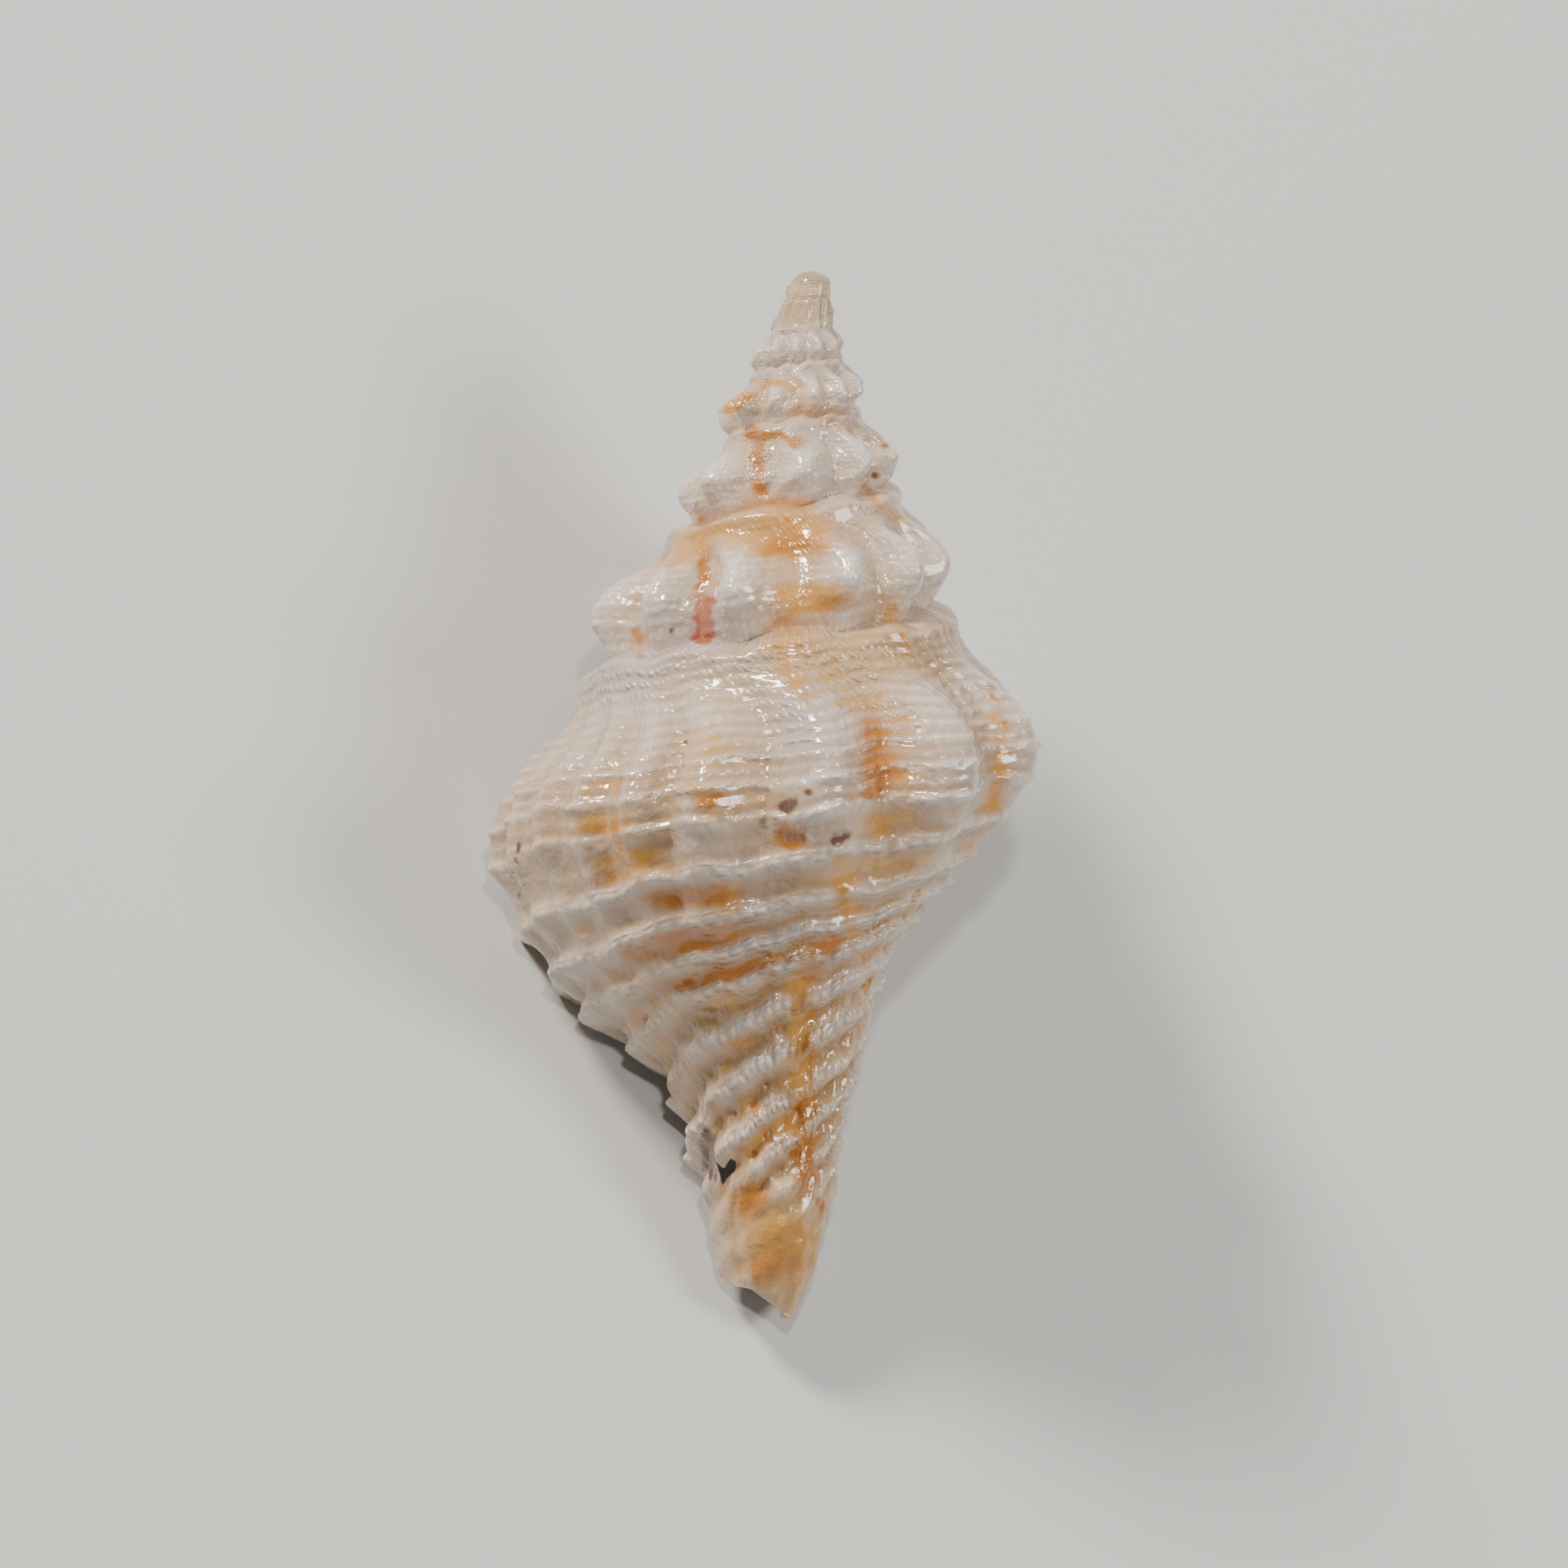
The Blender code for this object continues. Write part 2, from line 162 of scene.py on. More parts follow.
def around_axis(angle, height, radius):
    """Points round an upright axis, in millimetres, the back of the last turn towards +Z."""
    side = np.radians(LIP_SIDE_ANGLE - angle)
    lean = APEX_LEAN * (1 - ease(height, APEX_DOME_HEIGHT, APEX_LEAN_END))
    return np.stack([lean - radius * np.sin(side), -height, radius * np.cos(side)], axis=-1)


LYING = Matrix.Rotation(math.radians(PITCH), 3, "X") @ Matrix.Rotation(math.radians(ROLL), 3, "Y")


def laid_down(points):
    """The same points on the lying shell, in metres."""
    return (points @ np.array(LYING).T + np.array(RESTING_PLACE)) * MM


# Shell: ribs, cords and growth lines of the outside.
# Each rib was once the thickened lip. Cords run along the spiral, beaded where growth lines cross
# them, and fine threads cover the slope above the shoulder. All of it is the same lime.
RIB_ANGLES = (
    14, 27, 40, 53, 67, 84, 111, 144, 178, 206, 234, 262, 291, 320, 348,
    378, 411, 442, 482, 512, 542, 572, 604, 634, 664, 690, 728, 768, 826, 868, 900, 932, 964,
    996, 1028, 1060, 1092, 1126, 1159, 1194, 1224,
)
RIB_SPACING = 31.0
RIB_WIDTH_SHARE = 0.30
KNOB_WIDTH_SHARE = 0.27
KNOB_WIDTH_ANGLES = (350.0, 390.0)
CROWDED_RIBS = 1.2
RIB_BLUNTNESS = 2.1
# Rise of a rib on the last turn and of the rounder knobs on the spire: level, rise
RIB_RISE = (
    (15.6, 0.0), (16.8, 0.3), (18.2, 0.92), (19.6, 1.26), (21.0, 1.22), (22.4, 0.95), (24.0, 0.62),
    (25.6, 0.22), (27.2, 0.0),
)
KNOB_RISE = (
    (15.8, 0.0), (16.6, 0.35), (17.5, 1.15), (18.6, 1.6), (19.6, 1.45), (20.6, 0.9), (21.6, 0.35),
    (22.6, 0.15), (24.0, 0.0),
)
# Where ribs turn into knobs, and how much deeper it is between knobs
KNOB_ANGLES = (240.0, 370.0)
KNOB_VALLEY = 1.5
# How far the surface sinks between the ribs
VALLEY_DEPTH = (
    (15.6, 0.0), (16.8, 0.22), (18.2, 0.44), (19.8, 0.46), (21.4, 0.4), (23.4, 0.2), (25.4, 0.0),
)
RIB_LAST_ANGLE = 1850.0
RIB_FADE_ANGLES = (1500.0, 1700.0)
RIB_FADE = 0.6
# Growth lines lean towards the lip above the shoulder and away from it on the canal
SHOULDER_LEAN = 18.0
SHOULDER_LEAN_LEVELS = (14.7, 18.6)
CANAL_LEAN = 20.0
CANAL_LEAN_HEIGHTS = (27.0, 32.0)
# Crests of the fine threads, then of the cords
THREAD_CRESTS = (14.95, 15.4, 15.85, 16.3, 16.8, 17.3, 17.8, 18.3, 18.75)
CORD_CRESTS = (
    19.25, 20.35, 21.65, 23.4, 25.1, 26.4, 27.5, 29.1, 31.0, 33.0, 34.75, 36.55, 38.4, 40.2, 42.0,
)
FIRST_CORD = len(THREAD_CRESTS)
CORD_RELIEF = (
    (14.9, 0.022), (18.3, 0.035), (19.3, 0.06), (21.5, 0.09), (23.4, 0.18), (25.1, 0.25), (31.0, 0.28),
    (42.0, 0.25), (43.0, 0.0),
)
# Lesser cords between the main ones
BETWEEN_RELIEF = ((18.4, 0.0), (19.3, 0.04), (22.5, 0.05), (24.5, 0.04), (27.0, 0.02), (31.0, 0.0))
CORD_WANDER = 0.09
CORD_EVENNESS = 0.75
CORD_SLIMNESS = 0.9
CORD_SLIM_LEVELS = (22.0, 25.0)
CORD_FADE = (30.5, 34.0)
# The spire's knobs are smoother than the last turn
SPIRE_START = (350.0, 400.0)
SPIRE_SMOOTHNESS = 0.6
# Near the lip the cords of the base run lower, stand out as teeth and have lower beads
LIP_CORD_DROP = 0.45
LIP_CORD_DROP_ANGLES = (25.0, 95.0)
LIP_CORD_DROP_LEVELS = (21.0, 24.0)
LIP_TEETH = 0.8
LIP_TEETH_ANGLE = 40.0
SMOOTH_LIP = 0.4
SMOOTH_LIP_ANGLES = (35.0, 105.0)
# Beads: levels where they begin, then degrees from one to the next, rise, and shift between cords
BEAD_LEVELS = (18.7, 20.0)
BEAD_TIGHTNESS = 2.5
LONG_BEAD = (8.6, 0.075, 1.9)
SMALL_BEAD = (4.4, 0.045, 0.8)
# The finest relief fades out towards the far side, whose columns are too coarse for it: cosines of
# the angle from the middle of the back
FINE_SIDE = (-0.15, 0.05)
# Growth lines: degrees from one to the next, rise and shift, then levels where they end
FINE_GROWTH = (4.4, 0.008, 0.0)
BROAD_GROWTH = (6.9, 0.007, 0.8)
GROWTH_END_LEVELS = (23.0, 26.0)
# Folds of the growth lines on the slope behind the middle rib
FOLD = (6.3, 0.055, 0.0)
FOLD_START = (112.0, 134.0)
FOLD_END = (205.0, 190.0)
FOLD_TOP_LEVELS = (14.8, 15.6)
FOLD_FOOT_LEVELS = (18.2, 20.5)
# Fine relief shrinks less than the turns do
FINE_RELIEF_POWER = 0.7
# Slow waves that keep the relief uneven: how much, then how fast it changes with the angle and with
# the level, height or cord, and where it starts
WANDER_WAVES = ((1.0, 0.15, 0.4, 0.0), (0.6, 0.37, -1.0, 0.0))
CORD_ROW_WAVE = (0.3, 0.19, 1.7, 0.0)
CORD_LEVEL_WAVE = (0.2, 0.43, -1.0, 0.0)
SMALL_BEAD_WAVE = (0.5, 0.21, 2.3, 0.0)
GROWTH_WAVES = ((1.3, 0.13, 0.5, 0.0), (0.7, 0.31, -0.9, 0.0))
GROWTH_STRENGTH_WAVE = (0.5, 0.07, 0.0, 1.0)
BROAD_WAVES = ((0.05, 0.047, 0.9, 0.0), (0.04, 0.083, -0.6, 2.0))
# Lumps that make the upper spire uneven
LUMP_RISE = 0.17
LUMP_ANGLES = (560.0, 900.0)
LUMP_WAVES = ((1.0, 0.11, 1.7, 0.0), (1.0, 0.17, -1.1, 1.0), (0.6, 0.26, 2.3, 0.0))
# Bumps of the smooth end of the canal
CANAL_LAST_ANGLE = 400.0
CANAL_BUMP_RISE = 0.075
CANAL_BUMP_HEIGHTS = (30.5, 33.0)
CANAL_BUMP_WAVES = ((1.0, 0.15, 2.2, 0.0), (1.0, -0.06, 2.9, 1.0))
# Riblets on the oldest turn: heights between which they stand, spacing and rise
APEX_RIBLET_START = (1.35, 1.55)
APEX_RIBLET_END = (2.35, 2.15)
APEX_RIBLET_ANGLE = 26.0
APEX_RIBLET_PHASE = 1540.0
APEX_RIBLET_RISE = 0.03
# Step between the two oldest turns
APEX_STEP_HEIGHT = 1.4
APEX_STEP_TILT = 0.06
APEX_STEP_DEPTH = 0.05
APEX_STEP_WIDTH = 0.07
# Where the smooth inner lip lies over the ribs
CALLUS_ANGLES = (322.0, 352.0)
CALLUS_HEIGHTS = (13.6, 14.4)
# Levels by which a place has to be past the suture to count as covered
COVERED_BY = 1e-6
# How deep between two crests a groove begins and is full, and how much the lesser grooves count
GROOVE_SIDES = (0.2, 0.95)
FINE_GROOVE_SHARE = 0.55
# Where the finish changes: levels, and on the canal heights, between which a trait begins or ends
CORDS_BEGIN = (18.6, 19.4)
FINE_CORDS_END = (23.4, 27.0)
KNOBS_BEGIN = (16.3, 17.8)
KNOBS_END = (22.0, 24.5)
VALLEYS_BEGIN = (16.0, 18.0)
VALLEYS_END = (22.5, 25.0)
BASE_BEGINS = (22.0, 24.5)
BASE_BEADS_BEGIN = (22.0, 24.0)
CANAL_BEGINS = (30.0, 32.5)
# Single swellings: angle, level, half the spread in each, rise on a turn of the lip's size
SWELLINGS = (
    (912, 21.0, 15, 2.4, 1.5), (1092, 21.4, 14, 2.2, 1.1), (372, 20.8, 13, 2.8, 0.3),
    (10, 17.5, 16, 1.0, 0.36), (12, 26.6, 14, 1.6, 0.28), (768, 19.2, 10, 1.6, 0.6),
    (1130, 19.5, 14, 1.8, 0.6),
)

cord_relief = smooth_curve(CORD_RELIEF)
between_relief = smooth_curve(BETWEEN_RELIEF)
rib_rise = smooth_curve(RIB_RISE)
knob_rise = smooth_curve(KNOB_RISE)
valley_depth = smooth_curve(VALLEY_DEPTH)
spire_ribs = np.arange(RIB_ANGLES[-1] + RIB_SPACING, RIB_LAST_ANGLE, RIB_SPACING)
all_ribs = np.concatenate([RIB_ANGLES, spire_ribs])
rib_gaps = np.gradient(all_ribs)
rib_strength = np.minimum(rib_gaps / RIB_SPACING, 1.0) ** CROWDED_RIBS
all_crests = np.array(THREAD_CRESTS + CORD_CRESTS)


def growth_line(angle, level, height):
    """The same number all along a growth line: its angle at the shoulder."""
    above = SHOULDER_LEAN * (1 - ease(level, *SHOULDER_LEAN_LEVELS))
    return angle + above - CANAL_LEAN * ease(height, *CANAL_LEAN_HEIGHTS)


def rib_shape(line):
    """1 on a rib's crest, falling to 0 between the ribs."""
    after = np.clip(np.searchsorted(all_ribs, line), 1, len(all_ribs) - 1)
    nearest = np.where(line - all_ribs[after - 1] < all_ribs[after] - line, after - 1, after)
    share = RIB_WIDTH_SHARE + (KNOB_WIDTH_SHARE - RIB_WIDTH_SHARE) * ease(line, *KNOB_WIDTH_ANGLES)
    away = abs(line - all_ribs[nearest]) / (rib_gaps[nearest] * share)
    return rib_strength[nearest] * np.exp(-(away ** RIB_BLUNTNESS))


def cord_row(level):
    """Which row of fine relief a level is on: one to a thread, two to a cord, crests in the middle."""
    count = np.interp(level, all_crests, np.arange(len(all_crests)))
    beyond = np.maximum(level - all_crests[-1], 0.0) - np.maximum(all_crests[0] - level, 0.0)
    return 0.5 + count + np.maximum(count - FIRST_CORD, 0.0) + beyond


def open_share(angle, level, height):
    """0 where the smooth inner lip or the next turn covers the surface, 1 elsewhere."""
    callus = ease(angle, *CALLUS_ANGLES) * ease(height, *CALLUS_HEIGHTS)
    covered = (angle > 360.0) & (level > next_suture(angle) + COVERED_BY)
    return np.where(covered, 0.0, 1 - callus * (angle <= 360.0))


def apex_relief(angle, height):
    """Riblets of the oldest turns and the step between two of them."""
    riblets = APEX_RIBLET_RISE * ease(height, *APEX_RIBLET_START) * ease(height, *APEX_RIBLET_END)
    riblets = riblets * np.cos(2 * np.pi * (angle - APEX_RIBLET_PHASE) / APEX_RIBLET_ANGLE)
    step = APEX_STEP_HEIGHT + APEX_STEP_TILT * np.sin(np.radians(angle))
    return riblets - APEX_STEP_DEPTH * np.exp(-(((height - step) / APEX_STEP_WIDTH) ** 2))


def waves(line, level, *parts):
    """The sum of some slow waves over the surface."""
    total = 0.0
    for much, by_line, by_level, start in parts:
        total = total + much * np.sin(line * by_line + level * by_level + start)
    return total


def ridges(line, row, spacing, rise, shift):
    """Ridges across the cords, shifted from one row to the next."""
    return rise * np.cos(2 * np.pi * line / spacing + row * shift)


def rib_relief(angle, level, rib, early):
    """Ribs of the last turn, knobs of the spire and the hollows between them."""
    knobs = ease(angle, *KNOB_ANGLES)
    crest_rise = rib_rise(level) * (1 - knobs) + knob_rise(level) * knobs
    sink = valley_depth(level) * (1 + (KNOB_VALLEY - 1) * knobs) * (1 - rib) * early
    return crest_rise * rib - sink


def cords_and_beads(angle, level, line, count, wave, on_rows, fade, fine_side):
    """Rise of the cords and of the lesser ones between them, rise of their beads, and the crests."""
    cord = np.rint(count)
    teeth = 1 + LIP_TEETH * (1 - ease(angle, 0.0, LIP_TEETH_ANGLE))
    slimness = 1 + (CORD_SLIMNESS - 1) * ease(level, *CORD_SLIM_LEVELS)
    rise = cord_relief(level) * (2 * (0.5 + 0.5 * wave) ** slimness - 1) * on_rows * teeth
    rise = rise + between_relief(level) * np.cos(4 * np.pi * count)
    uneven = CORD_EVENNESS + waves(line, cord, CORD_ROW_WAVE) + waves(line, level, CORD_LEVEL_WAVE)

    beaded = SMOOTH_LIP + (1 - SMOOTH_LIP) * ease(angle, *SMOOTH_LIP_ANGLES)
    crest = np.clip(wave, 0, 1) ** 2 * ease(level, *BEAD_LEVELS) * fade
    small = (0.5 + waves(line, cord, SMALL_BEAD_WAVE)) * fine_side
    bead = ridges(line, cord, *LONG_BEAD) + small * ridges(line, cord, *SMALL_BEAD)
    return rise * fade * uneven, bead * crest ** BEAD_TIGHTNESS * beaded, crest * beaded


def growth_relief(angle, level, line, early, fine_side):
    """Growth lines, the folds behind the middle rib, and a broad unevenness."""
    uneven_line = line + waves(line, level, *GROWTH_WAVES)
    strength = (0.5 + waves(line, level, GROWTH_STRENGTH_WAVE)) * fine_side
    growth = strength * ridges(uneven_line, 0.0, *FINE_GROWTH) + ridges(uneven_line, 1.0, *BROAD_GROWTH)
    growth = growth * (1 - ease(level, *GROWTH_END_LEVELS))
    folded = ease(angle, *FOLD_START) * ease(angle, *FOLD_END)
    folded = folded * ease(level, *FOLD_TOP_LEVELS) * (1 - ease(level, *FOLD_FOOT_LEVELS))
    fold = folded * ridges(uneven_line, 0.0, *FOLD)
    return growth + fold + waves(angle, level, *BROAD_WAVES) * early


def lumps_and_swellings(angle, level, line, early):
    """Lumps of the upper spire, and swellings placed one by one."""
    first, second, third = (waves(line, level, wave) for wave in LUMP_WAVES)
    rise = LUMP_RISE * ease(angle, *LUMP_ANGLES) * (first * second + third) * early
    for at_angle, at_level, wide, tall, much in SWELLINGS:
        spread = ((angle - at_angle) / wide) ** 2 + ((level - at_level) / tall) ** 2
        rise = rise + much * np.exp(-spread)
    return rise


def canal_bumps(angle, height, line):
    """Low bumps on the smooth end of the canal."""
    first, second = (waves(line, height, wave) for wave in CANAL_BUMP_WAVES)
    on_canal = ease(height, *CANAL_BUMP_HEIGHTS) * (angle < CANAL_LAST_ANGLE)
    return CANAL_BUMP_RISE * on_canal * first * second


def outside(angle, height):
    """Radius of the finished outside, and what the finish needs to know of each place."""
    size = turn_size(angle)
    level = height / size
    line = growth_line(angle, level, height)
    shown = open_share(angle, level, height)
    early = 1 - RIB_FADE * ease(angle, *RIB_FADE_ANGLES)
    spire = ease(angle, *SPIRE_START)
    fine_side = ease(np.cos(np.radians(LIP_SIDE_ANGLE - angle)), *FINE_SIDE)
    rib = rib_shape(line) * early

    drop = (1 - ease(angle, *LIP_CORD_DROP_ANGLES)) * ease(level, *LIP_CORD_DROP_LEVELS)
    wander = CORD_WANDER * waves(line, level, *WANDER_WAVES) - LIP_CORD_DROP * drop
    count = np.interp(level + wander, all_crests, np.arange(len(all_crests)))
    on_rows = (level > all_crests[0]) & (level < all_crests[-1] + 1.0)
    wave = np.cos(2 * np.pi * count) * on_rows
    fade = (1 - ease(height, *CORD_FADE)) * early * (1 - SPIRE_SMOOTHNESS * spire)

    cord, bead, crest = cords_and_beads(angle, level, line, count, wave, on_rows, fade, fine_side)
    growth = growth_relief(angle, level, line, early, fine_side)
    broad = rib_relief(angle, level, rib, early) + cord + lumps_and_swellings(angle, level, line, early)
    detail = size * broad + bead * np.sqrt(size) + growth * size ** FINE_RELIEF_POWER
    detail = detail + canal_bumps(angle, height, line) + apex_relief(angle, height)
    radius = plain_radius(angle, height) + shown * detail

    on_cords = ease(level, *CORDS_BEGIN)
    hollow = ease(0.5 - 0.5 * wave, *GROOVE_SIDES) * (0.5 + 0.5 * on_cords)
    fine_hollow = 0.5 - 0.5 * np.cos(4 * np.pi * count)
    fine_share = FINE_GROOVE_SHARE * on_cords * (1 - ease(level, *FINE_CORDS_END))
    hollow = hollow + fine_share * (fine_hollow - hollow)
    places = {
        "groove": hollow * on_rows * fade * shown,
        "knob": rib * ease(level, *KNOBS_BEGIN) * (1 - ease(level, *KNOBS_END)) * shown,
        "crest": crest * ease(level, *BASE_BEADS_BEGIN) * shown,
        "valley": (1 - rib) * ease(level, *VALLEYS_BEGIN) * (1 - ease(level, *VALLEYS_END)) * shown,
        "canal": ease(height, *CANAL_BEGINS) * (angle < CANAL_LAST_ANGLE),
        "base": ease(level, *BASE_BEGINS),
        "spire": spire,
        "row": cord_row(level + wander),
    }
    return radius, line, places


# Shell: the outer sheet, sewn from the turns.
# The sheet starts at the small dome that hatched with the snail and ends at the lip. Each turn is a
# grid of columns round the axis, sewn along the suture to the foot of the turn before.
SEEN_COLUMNS = 186
SEEN_ANGLE = 206.0
HIDDEN_COLUMNS = 62
SLOPE_ROWS = 54
SHOULDER_ROWS = 42
SLOPE_SHARE = 0.53
LAST_TURN_FOOT_ROWS = 100
SPIRE_ROWS = (60, 36, 22, 14, 18)
DOME_ROWS = 5
SHELF_LEVELS = 0.8
SHELF_ROUNDNESS = 2.4
MOUTH_ROOF_DROP = 0.75
# Places in the view from above: how wide it is in pixels, one pixel in millimetres, and where the
# spiral's point is
VIEW_PIXELS = 1932
PIXEL = 0.02791
POINT_ACROSS = 992.7
POINT_DOWN = 316.0
AXIS_TILT = 0.035

turn_columns = np.concatenate([
    np.linspace(0.0, SEEN_ANGLE, SEEN_COLUMNS, endpoint=False),
    np.linspace(SEEN_ANGLE, 360.0, HIDDEN_COLUMNS + 1),
])


def flat_sheet(columns, rows):
    """A flat sheet with that many columns and rows of faces, and each vertex's column and row."""
    bm = bmesh.new()
    bmesh.ops.create_grid(bm, x_segments=columns, y_segments=rows, size=0.5)
    mesh = bpy.data.meshes.new("sheet")
    bm.to_mesh(mesh)
    bm.free()
    flat = np.zeros(len(mesh.vertices) * 3)
    mesh.vertices.foreach_get("co", flat)
    flat = flat.reshape(-1, 3) + 0.5
    return mesh, np.rint(flat[:, 0] * columns).astype(int), np.rint(flat[:, 1] * rows).astype(int)


def first_strip_share(angle):
    """How far the first turn's strip has opened out from the dome's edge."""
    return ease((TURNS * 360.0 - angle) / 360.0, 0.0, FIRST_STRIP_OPENING)


def lower_edge(angle):
    """Height and radius of a turn's lower edge, where the next turn is sewn on."""
    height = next_suture(angle) * turn_size(angle)
    radius = outside(angle, height)[0]
    share = np.where(angle > (TURNS - 1) * 360.0, first_strip_share(angle), 1.0)
    height = APEX_RING_HEIGHT + (height - APEX_RING_HEIGHT) * share
    radius = APEX_RING_RADIUS + (radius - APEX_RING_RADIUS) * share
    return height, radius


TRAITS = (
    "groove", "knob", "valley", "crest", "wash", "ochre", "rust", "brick", "brown", "chip_shade", "apex",
    "inside", "rim_glow", "canal", "spire", "base", "lilac",
)
# Degrees of growth to one unit of the growth map
GROWTH_MAP_UNIT = 10.0


def seam_marks(column, last_column):
    """1 on a sheet's first column, 2 on its last and 0 elsewhere."""
    return np.where(column == 0, 1, np.where(column == last_column, 2, 0))


def finish_sheet(mesh, points, line, level, places, seam):
    """Move a flat sheet to its place and note on it what the sewing and the finish need."""
    mesh.vertices.foreach_set("co", laid_down(points).ravel())
    for name in TRAITS:
        values = np.broadcast_to(places.get(name, 0.0), level.shape).astype(np.float32)
        mesh.attributes.new(name, "FLOAT", "POINT").data.foreach_set("value", values)
    mesh.attributes.new("seam", "INT", "POINT").data.foreach_set("value", seam.astype(np.int32))
    corners = np.zeros(len(mesh.loops), int)
    mesh.loops.foreach_get("vertex_index", corners)
    row = places.get("row", cord_row(level))
    growth_map = np.stack([line[corners] / GROWTH_MAP_UNIT, row[corners]], axis=1)
    mesh.uv_layers.new(name="growth").data.foreach_set("uv", growth_map.ravel())
    return mesh


# Stains: pixel across, pixel down, half length, half width, turn of the length up to the right
# in degrees, strength
OCHRE_STAINS = (
    (906, 495, 26, 12, 28, 0.95), (955, 474, 36, 6, -8, 0.8), (1022, 522, 30, 13, -10, 0.45),
    (1065, 517, 14, 8, -42, 0.8), (1082, 540, 18, 9, -42, 0.7), (955, 618, 42, 9, 0, 0.5),
    (880, 655, 26, 11, 10, 0.6), (846, 676, 40, 18, 32, 0.9), (820, 690, 20, 9, 25, 0.5),
    (940, 635, 62, 13, -4, 0.55), (985, 650, 38, 28, 0, 0.7), (905, 658, 42, 12, 8, 0.4),
    (1078, 618, 10, 24, 35, 0.6), (1106, 637, 18, 7, -42, 0.6), (985, 728, 45, 9, 0, 0.45),
    (1000, 747, 46, 13, 3, 0.65), (975, 790, 26, 18, -30, 0.55), (965, 822, 12, 34, 30, 0.5),
    (990, 858, 12, 26, 28, 0.4), (1045, 810, 75, 45, -20, 0.22), (1018, 833, 12, 8, 0, 0.4),
    (1096, 752, 15, 14, -30, 0.6), (1108, 776, 10, 26, 25, 0.5), (1160, 748, 26, 9, -30, 0.4),
    (1172, 775, 9, 28, 25, 0.35), (1062, 868, 34, 12, 5, 0.55), (1112, 890, 20, 11, 0, 0.5),
    (1105, 957, 26, 13, 0, 0.6), (1050, 985, 10, 24, 0, 0.3), (1078, 1018, 16, 14, -20, 0.6),
    (1120, 1005, 60, 8, 8, 0.35), (1120, 1060, 55, 22, 10, 0.3), (1222, 852, 7, 20, 12, 0.6),
    (1227, 888, 11, 7, 0, 0.75), (1232, 930, 10, 6, 0, 0.8), (1228, 962, 8, 26, -12, 0.75),
    (1218, 992, 13, 14, -20, 0.55), (1202, 1040, 9, 26, -35, 0.55), (866, 918, 42, 28, 0, 0.5),
    (848, 866, 20, 14, 0, 0.2), (862, 971, 24, 7, -3, 0.75), (875, 1006, 22, 8, 0, 0.5),
    (935, 984, 40, 6, 2, 0.3), (756, 967, 22, 7, 4, 0.6), (726, 976, 6, 13, 0, 0.45),
    (735, 1016, 26, 10, 0, 0.8), (765, 1018, 15, 18, 0, 0.7), (665, 1040, 12, 9, 0, 0.35),
    (782, 1054, 34, 10, 4, 0.75), (768, 1074, 40, 16, 0, 0.55), (848, 1066, 32, 9, 2, 0.35),
    (898, 1110, 16, 26, 0, 0.6), (720, 1142, 24, 6, 14, 0.55), (770, 1200, 40, 7, 20, 0.3),
    (892, 1226, 24, 12, 12, 0.7), (800, 1242, 34, 9, 28, 0.45), (812, 1284, 14, 14, 0, 0.7),
    (782, 1268, 16, 18, 0, 0.35), (830, 1335, 13, 26, 0, 0.5), (905, 1281, 26, 9, 10, 0.55),
    (878, 1362, 12, 15, 0, 0.5), (931, 1365, 15, 11, 0, 0.7), (893, 1318, 10, 30, -15, 0.3),
    (1036, 1085, 13, 34, 0, 0.8), (1075, 1062, 34, 9, 6, 0.45), (985, 1220, 16, 24, -5, 0.7),
    (985, 1262, 12, 30, 0, 0.5), (988, 1325, 15, 24, 0, 0.5), (950, 1392, 44, 12, 28, 0.45),
    (965, 1516, 42, 24, -25, 0.8), (985, 1550, 20, 40, -8, 0.5), (935, 1420, 40, 14, 10, 0.3),
    (935, 1550, 34, 34, 0, 0.55), (970, 1600, 18, 18, 0, 0.2), (920, 1475, 30, 26, 0, 0.6),
    (1125, 1112, 14, 5, 50, 0.6), (1115, 1142, 30, 5, 18, 0.4), (1066, 1218, 6, 44, -14, 0.45),
    (1050, 1290, 6, 50, -18, 0.3), (785, 741, 6, 13, 0, 0.6), (756, 770, 16, 12, 0, 0.25),
    (1072, 1170, 20, 7, 25, 0.4), (1140, 820, 40, 12, -30, 0.2), (988, 1330, 13, 150, 0, 0.75),
    (974, 1030, 17, 13, 0, 0.6), (1045, 1120, 11, 60, 10, 0.6), (1000, 505, 36, 12, -6, 0.5),
    (975, 672, 60, 20, 4, 0.8), (1000, 735, 50, 16, 0, 0.6), (1235, 920, 8, 60, 0, 0.5),
)
